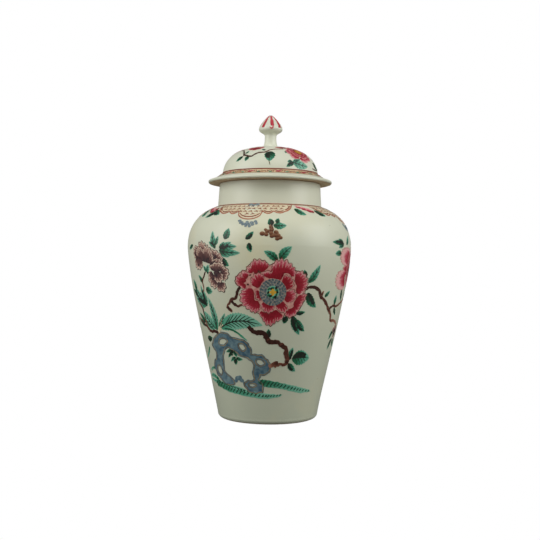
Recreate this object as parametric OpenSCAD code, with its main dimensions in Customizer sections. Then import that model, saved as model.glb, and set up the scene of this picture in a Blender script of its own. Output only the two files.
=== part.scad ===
// Lidded porcelain baluster jar, thrown in sections that are luted together with slip.
// The axis is +Z, and the origin is the centre of the foot's standing plane.

/* [Body] */
// Outer radius of the wall just above the rounded foot
foot_r = 49.6; // [40:0.2:60]
// Radius of the rounded edge between the wall and the standing ring
foot_round = 5; // [3:0.5:7]
// Outer radius at the widest point
belly_r = 81.2; // [68:0.2:98]
// Height of the widest point
belly_z = 168.5; // [140:0.5:200]
// Height from the widest point to the neck's root
shoulder_h = 40; // [32:0.5:48]
// Thickness of the wall from the belly up
body_wall = 4.4; // [3:0.1:6.5]
// Thickness of the wall just above the floor
foot_wall = 7; // [5:0.1:9]
// Thickness of the floor
floor_t = 6.5; // [4.5:0.5:10]

/* [Foot] */
// Width of the standing ring, from its rounded edge to the recess
ring_w = 8; // [5:0.5:12]
// Depth of the recess inside the standing ring
recess_h = 6; // [5:0.5:9]
// Slope of the recess wall, as how much wider it is at the mouth
recess_flare = 1.2; // [0:0.1:2]

/* [Neck] */
// Outer radius at the neck's root
neck_root_r = 51.6; // [43:0.2:62]
// Outer radius at the mouth
neck_mouth_r = 50.2; // [41:0.2:61]
// Height of the neck
neck_h = 23; // [16:0.5:34]
// Thickness of the neck's wall
neck_wall = 4.6; // [3:0.1:6]
// Radius of the rounding on the mouth's two edges
mouth_round = 1.1; // [0.5:0.1:1.4]

/* [Lid] */
// Gap between the mouth and the lid's brim
seat_gap = 0.1; // [0.05:0.05:0.3]
// Radial gap between the locating collar and the neck
collar_gap = 1.4; // [0.8:0.1:3]
// How far the locating collar reaches down into the neck
collar_h = 13; // [8:0.5:15]
// Thickness of the locating collar
collar_wall = 3.6; // [2.5:0.1:5]
// How far the brim stands out past the neck
brim_reach = 11.4; // [7:0.2:16]
// Thickness of the brim's rolled edge
brim_t = 3; // [2.2:0.1:4]
// How far the brim rises from its edge to the foot of the dome
brim_rise = 6.6; // [4:0.2:9]
// Radius of the dome's foot
dome_r = 47.6; // [39:0.2:58]
// Height of the dome above its foot
dome_h = 27.4; // [20:0.2:36]
// Thickness of the dome
dome_wall = 4; // [3:0.1:6]

/* [Knop] */
// Radius of the knop's stem
stem_r = 5.9; // [4.5:0.1:7.5]
// Height of the stem
stem_h = 12; // [8:0.5:18]
// Radius of the bud at its widest
bud_r = 11.9; // [9:0.1:15]
// Height of the bud from the stem to its tip
bud_h = 20; // [15:0.5:26]

/* [Hidden] */
$fn = 128;

clay = "#dcdcc8";
bud_pink = "#d98a8f";

// Share of the lower curve at which the two halves of the body are luted together
seam = 0.62;
curve_steps = 18;
// Height and depth of the ridge of slip that is smoothed over a luted seam inside
slip_ridge = 0.9;
slip_spread = 0.06;

shoulder_z = belly_z + shoulder_h;
mouth_z = shoulder_z + neck_h;
brim_z = mouth_z + seat_gap;
dome_z = brim_z + brim_t + brim_rise;
knop_z = dome_z + dome_h;
brim_r = neck_mouth_r + brim_reach;
stand_r = foot_r - foot_round;
recess_r = stand_r - ring_w;
// The collar clears the neck's bore at the mouth and at its own lower edge, whichever is narrower.
collar_r = min(neck_bore(mouth_z), neck_bore(brim_z - collar_h)) - collar_gap;
knop_foot_r = stem_r * 1.42;

// The four control points of each curve of the outline, as [radius, height].
wall_curve = [
    [foot_r, foot_round],
    [foot_r + 0.297 * (belly_r - foot_r), foot_round + 0.3 * (belly_z - foot_round)],
    [belly_r - 0.051 * (belly_r - foot_r), belly_z - 0.229 * (belly_z - foot_round)],
    [belly_r, belly_z]
];
shoulder_curve = [
    [belly_r, belly_z],
    [belly_r, belly_z + 0.55 * shoulder_h],
    [neck_root_r + 0.63 * (belly_r - neck_root_r), shoulder_z - 0.16 * shoulder_h],
    [neck_root_r + 0.4, shoulder_z]
];
dome_curve = [
    [dome_r, dome_z],
    [dome_r - 0.034 * dome_r, dome_z + 0.6 * dome_h],
    [0.715 * dome_r, knop_z - 0.1 * dome_h],
    [knop_foot_r, knop_z]
];

// Inner radius of the neck at a height.
function neck_bore(z) =
    neck_root_r + (neck_mouth_r - neck_root_r) * (z - shoulder_z) / neck_h - neck_wall;
function on_curve(c, t) =
    pow(1 - t, 3) * c[0] + 3 * pow(1 - t, 2) * t * c[1] + 3 * (1 - t) * t * t * c[2] + pow(t, 3) * c[3];
function slope(c, t) =
    3 * pow(1 - t, 2) * (c[1] - c[0]) + 6 * (1 - t) * t * (c[2] - c[1]) + 3 * t * t * (c[3] - c[2]);
// Unit vector square to the curve, towards the axis.
function inward(c, t) =
    let (d = slope(c, t)) [-d[1], d[0]] / norm(d);
function outside(c, from, to) =
    [for (i = [0 : curve_steps]) on_curve(c, from + (to - from) * i / curve_steps)];
// The inner face: the outer one moved in by a thickness that runs from wall_0 at t = 0 to wall_1
// at t = 1, with a low ridge over the seam at t = ridge_at.
function inside(c, from, to, wall_0, wall_1, ridge_at = -1) =
    [for (i = [0 : curve_steps])
        let (
            t = from + (to - from) * i / curve_steps,
            ridge = slip_ridge * exp(-pow((t - ridge_at) / slip_spread, 2)))
        on_curve(c, t) + inward(c, t) * (wall_0 + (wall_1 - wall_0) * t + ridge)];
function reversed(points) = [for (i = [len(points) - 1 : -1 : 0]) points[i]];
function arc(centre, r, from, to, steps = 6) =
    [for (i = [0 : steps])
        let (a = from + (to - from) * i / steps) centre + r * [cos(a), sin(a)]];
function above(points, z) = [for (p = points) if (p[1] > z) p];
function below(points, z) = [for (p = points) if (p[1] < z) p];
function outer_than(points, r) = [for (p = points) if (p[0] > r) p];

// The lower half of the body: the standing ring, the recessed base, the floor and the wall up to
// the seam, thrown as one.
module lower_body() {
    floor_z = recess_h + floor_t;
    wall_inside = above(inside(wall_curve, 0, seam, foot_wall, body_wall, seam), floor_z + 3);
    foot_inside_r = wall_inside[0][0];
    color(clay)
        rotate_extrude()
            polygon(concat(
                [[0, recess_h], [recess_r - recess_flare - 1, recess_h]],
                [[recess_r - recess_flare, recess_h - 1], [recess_r, 0]],
                arc([stand_r, foot_round], foot_round, -90, 0),
                outside(wall_curve, 0, seam),
                reversed(wall_inside),
                [[foot_inside_r - 1, floor_z + 1.2], [foot_inside_r - 4, floor_z]],
                [[0, floor_z - 0.6]]));
}

// The upper half of the body: the wall from the seam to the belly, and the shoulder up to the
// flat ring that the neck is luted to.
module upper_body() {
    neck_inner_r = neck_root_r - neck_wall;
    shoulder_inside = outer_than(inside(shoulder_curve, 0, 1, body_wall, body_wall), neck_inner_r + 3);
    color(clay)
        rotate_extrude()
            polygon(concat(
                outside(wall_curve, seam, 1),
                outside(shoulder_curve, 0, 1),
                [[neck_inner_r, shoulder_z], [neck_inner_r, shoulder_z - body_wall * 0.7]],
                reversed(shoulder_inside),
                reversed(below(inside(wall_curve, seam, 1, foot_wall, body_wall, seam), belly_z))));
}

// The neck: a slightly tapered ring with a rounded, unglazed mouth that the brim rests on.
module neck() {
    color(clay)
        rotate_extrude()
            polygon(concat(
                [[neck_root_r - neck_wall, shoulder_z], [neck_root_r, shoulder_z]],
                arc([neck_mouth_r - mouth_round, mouth_z - mouth_round], mouth_round, 0, 90),
                arc([neck_mouth_r - neck_wall + mouth_round, mouth_z - mouth_round], mouth_round, 90, 180)));
}

// The lid: a dome with its brim, thrown as one. The brim's underside is the flat seat, and its
// upper side sweeps up from a rolled edge to the foot of the dome.
module lid_dome() {
    edge = brim_t / 2;
    seat_inner_r = collar_r - collar_wall;
    dome_inside = outer_than(inside(dome_curve, 0, 1, dome_wall, dome_wall), 2);
    color(clay)
        rotate_extrude()
            polygon(concat(
                [[seat_inner_r, brim_z]],
                arc([brim_r - edge, brim_z + edge], edge, -90, 75),
                [for (i = [1 : 5])
                    let (t = i / 6)
                    [brim_r - edge + (dome_r + 1 - brim_r + edge) * t,
                        brim_z + brim_t + brim_rise * (0.55 * t + 0.45 * t * t * t)]],
                outside(dome_curve, 0, 1),
                [[0, knop_z]],
                [[0, knop_z - dome_wall - 0.5]],
                reversed(above(dome_inside, brim_z + brim_t + 2)),
                [[seat_inner_r, brim_z + brim_t]]));
}

// The locating collar, luted under the brim, that drops into the neck and keeps the lid central.
module lid_collar() {
    bottom_z = brim_z - collar_h;
    edge = collar_wall * 0.38;
    color(clay)
        rotate_extrude()
            polygon(concat(
                [[collar_r, brim_z], [collar_r - collar_wall, brim_z]],
                arc([collar_r - collar_wall + edge, bottom_z + edge], edge, 180, 270),
                arc([collar_r - edge, bottom_z + edge], edge, 270, 360)));
}

// The knop, a pointed bud on a short stem with a spreading foot, luted to the top of the dome.
module lid_knop() {
    bud_z = knop_z + stem_h;
    tip_z = bud_z + bud_h;
    stem_curve = [
        [knop_foot_r, knop_z],
        [stem_r, knop_z + 0.12 * stem_h],
        [stem_r * 0.98, knop_z + 0.6 * stem_h],
        [stem_r, bud_z - 1]
    ];
    under_curve = [
        [stem_r, bud_z - 1],
        [stem_r + 0.5, bud_z + 0.11 * bud_h],
        [bud_r * 0.98, bud_z + 0.12 * bud_h],
        [bud_r, bud_z + 0.28 * bud_h]
    ];
    bud_curve = [
        [bud_r, bud_z + 0.28 * bud_h],
        [bud_r, bud_z + 0.46 * bud_h],
        [bud_r * 0.45, bud_z + 0.84 * bud_h],
        [bud_r * 0.16, tip_z - 0.6]
    ];
    color(bud_pink)
        rotate_extrude()
            polygon(concat(
                [[0, knop_z]],
                outside(stem_curve, 0, 1),
                outside(under_curve, 0.06, 1),
                outside(bud_curve, 0.06, 1),
                [[bud_r * 0.07, tip_z - 0.1], [0, tip_z]]));
}

lower_body();
upper_body();
neck();
lid_dome();
lid_collar();
lid_knop();
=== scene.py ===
import bisect
import math
import random

import bmesh
import bpy
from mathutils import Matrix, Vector, noise


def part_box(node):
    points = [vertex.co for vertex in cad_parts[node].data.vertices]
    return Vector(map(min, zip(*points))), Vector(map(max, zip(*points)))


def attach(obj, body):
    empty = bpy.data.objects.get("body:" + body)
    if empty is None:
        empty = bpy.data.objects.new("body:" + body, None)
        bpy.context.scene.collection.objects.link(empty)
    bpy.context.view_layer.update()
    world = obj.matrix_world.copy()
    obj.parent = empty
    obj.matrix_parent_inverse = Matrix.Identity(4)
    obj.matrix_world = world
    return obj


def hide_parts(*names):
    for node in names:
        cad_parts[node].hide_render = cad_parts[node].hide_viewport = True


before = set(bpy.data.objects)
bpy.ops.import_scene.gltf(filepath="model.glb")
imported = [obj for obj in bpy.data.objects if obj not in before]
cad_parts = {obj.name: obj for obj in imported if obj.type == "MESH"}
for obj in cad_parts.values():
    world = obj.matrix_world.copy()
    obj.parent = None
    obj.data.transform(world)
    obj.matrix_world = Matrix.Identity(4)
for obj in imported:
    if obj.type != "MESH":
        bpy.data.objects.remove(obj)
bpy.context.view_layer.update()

scene = bpy.context.scene
MM = 0.001


# Camera. It stands level, a little under half way up the jar, square to the side with the large
# pink flower, and leans a touch over half a degree.
camera_data = bpy.data.cameras.new("camera")
camera_data.lens = 54
camera = bpy.data.objects.new("camera", camera_data)
camera.location = (0.0009, -0.81, 0.146)
camera.rotation_euler = (math.radians(90), math.radians(-0.62), 0)
scene.collection.objects.link(camera)
scene.camera = camera


# Floor and light. A flat floor, white to the camera, two tall soft boxes at the sides that give
# the glaze its upright highlights, and a wide one overhead.
scene.view_settings.view_transform = "Standard"


def paint(red, green, blue):
    """A colour as it is seen, 0 to 255, turned into the linear one that a shader takes."""
    return tuple(((c / 255 + 0.055) / 1.055) ** 2.4 if c > 10 else c / 255 / 12.92
                 for c in (red, green, blue)) + (1,)


def add(tree, kind, inputs=None, **settings):
    """Adds a shader node, and fills its sockets with values or links."""
    node = tree.nodes.new("ShaderNode" + kind)
    for key, value in settings.items():
        setattr(node, key, value)
    for socket, value in (inputs or {}).items():
        if isinstance(value, bpy.types.NodeSocket):
            tree.links.new(value, node.inputs[socket])
        else:
            node.inputs[socket].default_value = value
    return node


def new_finish(name, **shader_values):
    """A material with one shader. Gives the material, its tree and the shader."""
    material = bpy.data.materials.new(name)
    material.use_nodes = True
    tree = material.node_tree
    shader = tree.nodes["Principled BSDF"]
    for socket, value in shader_values.items():
        shader.inputs[socket.replace("_", " ")].default_value = value
    return material, tree, shader


def soft_box(name, place, aim, width, height, power):
    light = bpy.data.lights.new(name, "AREA")
    light.shape = "RECTANGLE"
    light.size = width
    light.size_y = height
    light.energy = power
    lamp = bpy.data.objects.new(name, light)
    lamp.location = place
    lamp.rotation_euler = (Vector(aim) - Vector(place)).to_track_quat("-Z", "Y").to_euler()
    scene.collection.objects.link(lamp)


middle = (0, 0, 0.16)
soft_box("right_box", (1.32, -0.5, 0.75), middle, 0.9, 1.2, 17.0)
soft_box("left_box", (-1.15, -0.6, 0.7), middle, 0.9, 1.2, 14.5)
soft_box("top_box", (0, -0.9, 1.5), middle, 1.2, 0.9, 6.0)

world = bpy.data.worlds.new("studio")
scene.world = world
world.use_nodes = True
sky = world.node_tree
sight = add(sky, "LightPath")
tones = add(sky, "Mix", {0: sight.outputs["Is Camera Ray"], 6: (0.16, 0.16, 0.16, 1), 7: (1, 1, 1, 1)},
            data_type="RGBA")
sky.links.new(tones.outputs[2], sky.nodes["Background"].inputs["Color"])

floor_mesh = bpy.data.meshes.new("floor")
floor_shape = bmesh.new()
bmesh.ops.create_grid(floor_shape, x_segments=1, y_segments=1, size=4)
floor_shape.to_mesh(floor_mesh)
floor_shape.free()
floor = bpy.data.objects.new("floor", floor_mesh)
scene.collection.objects.link(floor)
floor_paper, floor_tree, floor_shader = new_finish("floor_paper", Roughness=0.9)
floor_shader.inputs["Base Color"].default_value = (0.16, 0.16, 0.15, 1)
floor_sight = add(floor_tree, "LightPath")
glow = add(floor_tree, "Emission", {"Color": (1, 1, 1, 1), "Strength": 1.0})
floor_mix = add(floor_tree, "MixShader", {0: floor_sight.outputs["Is Camera Ray"],
                                          1: floor_shader.outputs[0], 2: glow.outputs[0]})
floor_tree.links.new(floor_mix.outputs[0], floor_tree.nodes["Material Output"].inputs["Surface"])
floor_mesh.materials.append(floor_paper)


# Lower body. White clay thrown as one with its standing ring, dipped in a faintly green glaze, and
# luted at its top edge to the upper body. The ring was wiped bare before the firing.
TURNS = 192
SOFT_CORNER = math.radians(25)


def hand(angle, height):
    """How far the potter's wheel left the wall from a true round, in metres."""
    return MM * (0.14 * math.sin(2 * angle + 0.6)
                 + 0.08 * math.sin(3 * angle - 34 * height)
                 + 0.05 * math.sin(130 * height + angle))


def rings(node, facing, least=0.02):
    """The rings of a thrown node as (radius, height), lowest first, on the faces that turn away
    from the axis (1) or towards it (-1), by more than a least share of their normal."""
    found = {}
    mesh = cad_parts[node].data
    for face in mesh.polygons:
        out = face.normal.xy.dot(face.center.xy) * facing
        if out > least * face.center.xy.length:
            for index in face.vertices:
                point = mesh.vertices[index].co
                found[round(point.z, 5)] = point.xy.length
    return [(radius, height) for height, radius in sorted(found.items())]


def turn_at(before, here, after):
    first = Vector(here) - Vector(before)
    second = Vector(after) - Vector(here)
    return first.angle(second, 0)


def between(p0, p1, p2, p3, u):
    """A point on the smooth curve from p1 to p2, with p0 and p3 as their neighbours."""
    return tuple(0.5 * (2 * b + (c - a) * u + (2 * a - 5 * b + 4 * c - d) * u ** 2
                        + (3 * b - a - 3 * c + d) * u ** 3) for a, b, c, d in zip(p0, p1, p2, p3))


def smooth(points, parts=3):
    """The same outline with more points on its curved stretches. Sharp corners stay sharp."""
    finer = [points[0]]
    for i in range(1, len(points)):
        p0, p1, p2 = points[max(i - 2, 0)], points[i - 1], points[i]
        p3 = points[min(i + 1, len(points) - 1)]
        if turn_at(p0, p1, p2) > SOFT_CORNER:
            p0 = p1
        if turn_at(p1, p2, p3) > SOFT_CORNER:
            p3 = p2
        finer += [between(p0, p1, p2, p3, part / parts) for part in range(1, parts + 1)]
    return finer


def throw(name, node, outline, body, material):
    """Turns a closed outline round the axis, and has the result stand for a CAD node."""
    clay = bmesh.new()
    corners = [clay.verts.new((radius, 0, height)) for radius, height in outline]
    sides = [clay.edges.new((corners[i - 1], corners[i])) for i in range(len(corners))]
    bmesh.ops.spin(clay, geom=corners + sides, cent=(0, 0, 0), axis=(0, 0, 1), dvec=(0, 0, 0),
                   angle=math.tau, steps=TURNS, use_merge=True, use_duplicate=False)
    bmesh.ops.remove_doubles(clay, verts=clay.verts, dist=1e-6)
    loose = [edge for edge in clay.edges if not edge.link_faces]
    bmesh.ops.delete(clay, geom=loose, context="EDGES")
    bmesh.ops.recalc_face_normals(clay, faces=clay.faces)
    for vertex in clay.verts:
        radius = vertex.co.xy.length
        if radius > 2 * MM:
            vertex.co.xy *= 1 + hand(math.atan2(vertex.co.x, -vertex.co.y), vertex.co.z) / radius
    for face in clay.faces:
        face.smooth = True
    for edge in clay.edges:
        edge.smooth = edge.calc_face_angle(0) < math.radians(35)
    mesh = bpy.data.meshes.new(name)
    clay.to_mesh(mesh)
    clay.free()
    mesh.materials.append(material)
    piece = bpy.data.objects.new(name, mesh)
    scene.collection.objects.link(piece)
    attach(piece, body)
    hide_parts(node)
    return piece


def ramp(tree, value, stops):
    """A colour for a value from 0 to 1, blended between stops of (value, colour)."""
    node = add(tree, "ValToRGB", {"Fac": value})
    band = node.color_ramp.elements
    while len(band) < len(stops):
        band.new(0.5)
    for stop, (place, colour) in zip(band, stops):
        stop.position = place
        stop.color = colour
    return node.outputs["Color"]


def maths(tree, operation, first, second=0.0, third=0.0, clamp=False):
    node = add(tree, "Math", {0: first, 1: second, 2: third}, operation=operation, use_clamp=clamp)
    return node.outputs[0]


def mottle(tree, vector, scale, detail=3.0, **settings):
    """Even cloudy noise, from 0 to 1 with its middle at 0.5."""
    inputs = {"Vector": vector, "Scale": scale, "Detail": detail}
    return add(tree, "TexNoise", inputs, **settings).outputs["Fac"]


def glazed_clay(name, bare_low=None, bare_high=None, stain=None):
    """Glaze over white clay. Its colour runs greyer, greener and darker towards the foot, a painted
    shade of light that falls from above, with warm clouds and iron specks, and it leaves the clay
    bare below one height or above another, in metres. A stain is a yellowed patch round a point."""
    material, tree, shader = new_finish(name, Roughness=0.48, Coat_Weight=0.32, Coat_Roughness=0.36,
                                        Specular_IOR_Level=0.3)
    place = add(tree, "TexCoord").outputs["Object"]
    height = add(tree, "SeparateXYZ", {0: place}).outputs["Z"]
    clouds = mottle(tree, place, 11.0)
    # Painted shade: the glaze colour grows darker the lower it lies, standing in for light from above.
    depth = maths(tree, "MULTIPLY_ADD", height, 3.1, -0.02)
    depth = maths(tree, "MULTIPLY_ADD", clouds, 0.34, maths(tree, "SUBTRACT", depth, 0.17))
    glaze = ramp(tree, depth, [(0.0, paint(178, 183, 162)), (0.35, paint(192, 195, 172)),
                               (0.62, paint(205, 207, 185)), (1.0, paint(215, 217, 199))])
    warm = mottle(tree, place, 17.0, 4.0)
    warm = maths(tree, "MULTIPLY_ADD", warm, 3.0, -1.75, clamp=True)
    warm = maths(tree, "MULTIPLY", warm, 0.55)
    glaze = add(tree, "Mix", {0: warm, 6: glaze, 7: paint(214, 200, 158)}, data_type="RGBA").outputs[2]
    if stain:
        away = add(tree, "VectorMath", {0: place, 1: stain}, operation="DISTANCE").outputs["Value"]
        near = maths(tree, "MULTIPLY_ADD", away, -26.0, 1.0, clamp=True)
        near = maths(tree, "MULTIPLY", near, mottle(tree, place, 60.0, 4.0))
        glaze = add(tree, "Mix", {0: near, 6: glaze, 7: paint(212, 202, 158)}, data_type="RGBA").outputs[2]
    fine = mottle(tree, place, 420.0, 2.0)
    speck = add(tree, "TexVoronoi", {"Vector": place, "Scale": 95.0}).outputs["Distance"]
    speck = maths(tree, "LESS_THAN", speck, 0.035)
    speck = maths(tree, "MULTIPLY", speck, maths(tree, "GREATER_THAN", fine, 0.56))
    glaze = add(tree, "Mix", {0: speck, 6: glaze, 7: paint(120, 104, 78)}, data_type="RGBA").outputs[2]
    if bare_low is not None or bare_high is not None:
        edge = maths(tree, "MULTIPLY_ADD", mottle(tree, place, 160.0), 0.0006, -0.0003)
        level = maths(tree, "ADD", height, edge)
        if bare_low is not None:
            bare = maths(tree, "LESS_THAN", level, bare_low)
        else:
            bare = maths(tree, "GREATER_THAN", level, bare_high)
        grain = mottle(tree, place, 900.0, 2.0)
        biscuit = ramp(tree, grain, [(0.3, paint(184, 158, 126)), (0.7, paint(214, 198, 172))])
        glaze = add(tree, "Mix", {0: bare, 6: glaze, 7: biscuit}, data_type="RGBA").outputs[2]
        dull = maths(tree, "MULTIPLY_ADD", bare, 0.4, 0.48)
        tree.links.new(dull, shader.inputs["Roughness"])
        tree.links.new(maths(tree, "MULTIPLY_ADD", bare, -0.32, 0.32), shader.inputs["Coat Weight"])
    tree.links.new(glaze, shader.inputs["Base Color"])
    ripple = maths(tree, "MULTIPLY_ADD", mottle(tree, place, 60.0, 2.0), 3.0, fine)
    bump = add(tree, "Bump", {"Height": ripple, "Strength": 0.25, "Distance": 0.00006})
    tree.links.new(bump.outputs[0], shader.inputs["Normal"])
    return material


wall_outside = rings("lower_body", 1, 0.25)
wall_inside = rings("lower_body", -1, 0.08)
recess = [ring for ring in wall_inside if ring[1] < 8 * MM]
cavity = [ring for ring in wall_inside if ring[1] > 8 * MM]
lower_outline = (smooth(wall_outside) + smooth(cavity[::-1])
                 + [(0, cavity[0][1] - 0.6 * MM), (0, recess[-1][1])] + recess[::-1])
lower_outside = smooth(wall_outside)
throw("lower_body_glazed", "lower_body", lower_outline, "jar", glazed_clay("foot_glaze", bare_low=1.2 * MM))


# Upper body. Thrown apart from the lower body and luted on to it: the belly and the round shoulder,
# closed in to a flat ring under the neck. The glaze runs over the seam.
shoulder_outside = smooth(rings("upper_body", 1, 0.25))
upper_outline = shoulder_outside + smooth(rings("upper_body", -1, 0.25)[::-1])
stained_glaze = glazed_clay("body_glaze", stain=(-0.014, -0.079, 0.169))
throw("upper_body_glazed", "upper_body", upper_outline, "jar", stained_glaze)


# Neck. A plain, slightly tapered ring of clay luted to the shoulder. Its mouth is wiped bare,
# because the lid's brim rests on it.
neck_outside = rings("neck", 1)
neck_outline = neck_outside + rings("neck", -1)[::-1]
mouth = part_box("neck")[1].z
throw("neck_glazed", "neck", neck_outline, "jar", glazed_clay("neck_glaze", bare_high=mouth - 0.7 * MM))


# Lid. A low dome thrown as one with its spreading brim, which has a rolled edge and a flat, bare
# seat. The collar that drops into the neck is a separate ring luted under it.
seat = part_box("lid_dome")[0].z
DOME_FOOT = seat + 9.6 * MM
lid_outside = smooth(rings("lid_dome", 1, 0.09))
lid_inside = rings("lid_dome", -1)[::-1]
crown = lid_outside[-1][1]
lid_outline = (lid_outside + [(0, crown), (0, crown - 4.5 * MM)]
               + smooth(lid_inside[:-2]) + lid_inside[-2:])
lid_glaze = glazed_clay("lid_glaze", bare_low=seat + 0.1 * MM)
throw("lid_dome_glazed", "lid_dome", lid_outline, "lid", lid_glaze)
collar_outline = rings("lid_collar", 1) + rings("lid_collar", -1)[::-1]
collar_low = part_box("lid_collar")[0].z
collar_glaze = glazed_clay("collar_glaze", bare_low=collar_low + 2.5 * MM)
throw("lid_collar_glazed", "lid_collar", collar_outline, "lid", collar_glaze)


# Knop. A pointed bud on a short stem, thrown solid and luted to the crown of the lid.
knop_low, knop_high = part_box("lid_knop")
knop_outside = smooth(rings("lid_knop", 1))
knop_outline = knop_outside + [(0, knop_high.z), (0, knop_low.z)]
throw("lid_knop_glazed", "lid_knop", knop_outline, "lid", glazed_clay("knop_glaze"))


# Neck line and shoulder border. Thin iron red drawn on the fired glaze: a line where the neck
# starts, and four cartouches of three-legged diaper on a pale wash, each with a scalloped edge and
# a deep lappet.
class Skin:
    """The glazed outside of a piece. A spot on it is degrees round the axis, 0 at the front and
    rising to the right, and millimetres up the outline."""

    def __init__(self, outline, marks):
        self.outline = outline
        self.marks = marks

    def _segment(self, up):
        index = min(max(bisect.bisect(self.marks, up), 1), len(self.marks) - 1)
        low, high = self.marks[index - 1], self.marks[index]
        return self.outline[index - 1], self.outline[index], (up - low) / (high - low)

    def degree(self, up):
        """Millimetres round the wall in one degree."""
        (low_r, _), (high_r, _), share = self._segment(up)
        return math.radians(low_r + (high_r - low_r) * share) / MM

    def spot(self, degrees, up, lift=0.0):
        (low_r, low_z), (high_r, high_z), share = self._segment(up)
        wide, tall = high_r - low_r, high_z - low_z
        length = math.hypot(wide, tall)
        angle = math.radians(degrees)
        height = low_z + tall * share
        radius = low_r + wide * share + hand(angle, height) + tall / length * lift * MM
        height -= wide / length * lift * MM
        return Vector((radius * math.sin(angle), -radius * math.cos(angle), height))


jar_outside = lower_outside + shoulder_outside[1:]
jar_skin = Skin(jar_outside, [height / MM for radius, height in jar_outside])


def spline(points, t):
    """The point at t, 0 to 1, of a smooth curve through the points. A closed one has the same
    first and last point."""
    last = len(points) - 1
    closed = points[0] == points[-1]
    step = min(int(t * last), last - 1)
    before = points[step - 1] if step else (points[last - 1] if closed else points[0])
    after = points[step + 2] if step + 2 <= last else (points[1] if closed else points[last])
    return between(before, points[step], points[step + 1], after, t * last - step)


def wet():
    """A new batch of enamel, before it is fired."""
    enamel = bmesh.new()
    enamel.loops.layers.uv.new("wash")
    enamel.verts.layers.float.new("tone")
    return enamel


def lay(enamel, skin, cells, place, lift, tone=0.5):
    """Lays a sheet of enamel on the glaze. place(s, t) gives a spot for s from -1 to 1 across and
    t from 0 to 1 along. The sheet thins out at its edges."""
    sheet = bmesh.ops.create_grid(enamel, x_segments=cells[0], y_segments=cells[1], size=1)["verts"]
    wash = enamel.loops.layers.uv["wash"]
    tones = enamel.verts.layers.float["tone"]
    for vertex in sheet:
        s, t = vertex.co.x, (vertex.co.y + 1) / 2
        vertex[tones] = tone
        for loop in vertex.link_loops:
            loop[wash].uv = (s, t)
        thin = 0.02 * max(abs(s), abs(2 * t - 1)) ** 6
        vertex.co = skin.spot(*place(s, t), lift - thin)
    face = sheet[len(sheet) // 2].link_faces[0]
    face.normal_update()
    s, t = face.loops[0][wash].uv
    if face.normal.dot(skin.spot(*place(s, t), 1) - skin.spot(*place(s, t), 0)) < 0:
        turned = {face for vertex in sheet for face in vertex.link_faces}
        bmesh.ops.reverse_faces(enamel, faces=list(turned))


def stroke(enamel, skin, points, width, lift=0.16, ends=(0.5, 0.2), tone=0.5, shake=0.0, cell=1.6):
    """One stroke of a brush through the points, with its width at both ends as shares of the full
    one, and a shake of the hand as a share too."""
    degree = skin.degree(points[len(points) // 2][1])
    length = sum(math.hypot((b[0] - a[0]) * degree, b[1] - a[1]) for a, b in zip(points, points[1:]))
    closed = points[0] == points[-1]

    def place(s, t):
        here = spline(points, t)
        near, far = max(t - 0.01, 0), min(t + 0.01, 1)
        if closed and t in (0, 1):
            near, far = 0.99, 0.01
        behind, ahead = spline(points, near), spline(points, far)
        along, rise = (ahead[0] - behind[0]) * degree, ahead[1] - behind[1]
        size = math.hypot(along, rise) or 1
        press = 1.0
        if not closed:
            press -= (1 - ends[0]) * max(0, 1 - t / 0.25) ** 2
            press -= (1 - ends[1]) * max(0, 1 - (1 - t) / 0.35) ** 2
            press += shake * noise.noise((here[0] * 0.5, here[1] * 0.5, s))
        half = width / 2 * press
        return here[0] + rise / size * half * s / degree, here[1] - along / size * half * s

    lay(enamel, skin, (2, max(2, math.ceil(length / cell))), place, lift, tone)


def fire(enamel, name, material, slot, body="jar"):
    """Makes a batch of enamel one piece, sunk a little into the glaze that it was fired on to."""
    bmesh.ops.remove_doubles(enamel, verts=enamel.verts, dist=1e-6)
    for edge in enamel.edges:
        edge.smooth = not edge.is_boundary
    for face in enamel.faces:
        face.smooth = True
    mesh = bpy.data.meshes.new(name)
    enamel.to_mesh(mesh)
    enamel.free()
    mesh.materials.append(material)
    piece = bpy.data.objects.new(name, mesh)
    scene.collection.objects.link(piece)
    coat = piece.modifiers.new("thickness", "SOLIDIFY")
    coat.thickness = 0.45 * MM
    coat.offset = -1
    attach(piece, body)
    return piece


def thin_enamel(name, dark, light, grain=300.0, roughness=0.42):
    """A thin line colour, lighter where the brush ran dry."""
    material, tree, shader = new_finish(name, Roughness=roughness, Specular_IOR_Level=0.25)
    place = add(tree, "TexCoord").outputs["Object"]
    dry = mottle(tree, place, grain)
    tree.links.new(ramp(tree, dry, [(0.35, dark), (0.7, light)]), shader.inputs["Base Color"])
    return material


iron_red = thin_enamel("iron_red_line", paint(140, 72, 52), paint(176, 112, 84))
iron_wash = thin_enamel("iron_red_wash", paint(200, 184, 152), paint(212, 204, 176), 160.0)
BORDER_TOP = 207.0
UNIT = 90
LAPPET_AT = -15


def scallop(offset):
    """Height of the cartouche's lower edge at so many degrees from the middle of its lappet."""
    side = abs(offset)
    if side < 9.6:
        return 200 - 7.8 * math.sqrt(1 - (side / 9.6) ** 2)
    if side < 18:
        return 200 - 2.4 * math.sin(math.pi * (side - 9.6) / 8.4)
    if side < 27:
        return 200 - 1.8 * math.sin(math.pi * (side - 18) / 9)
    return 200 + 7.2 * ((side - 27) / 9) ** 1.6


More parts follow.
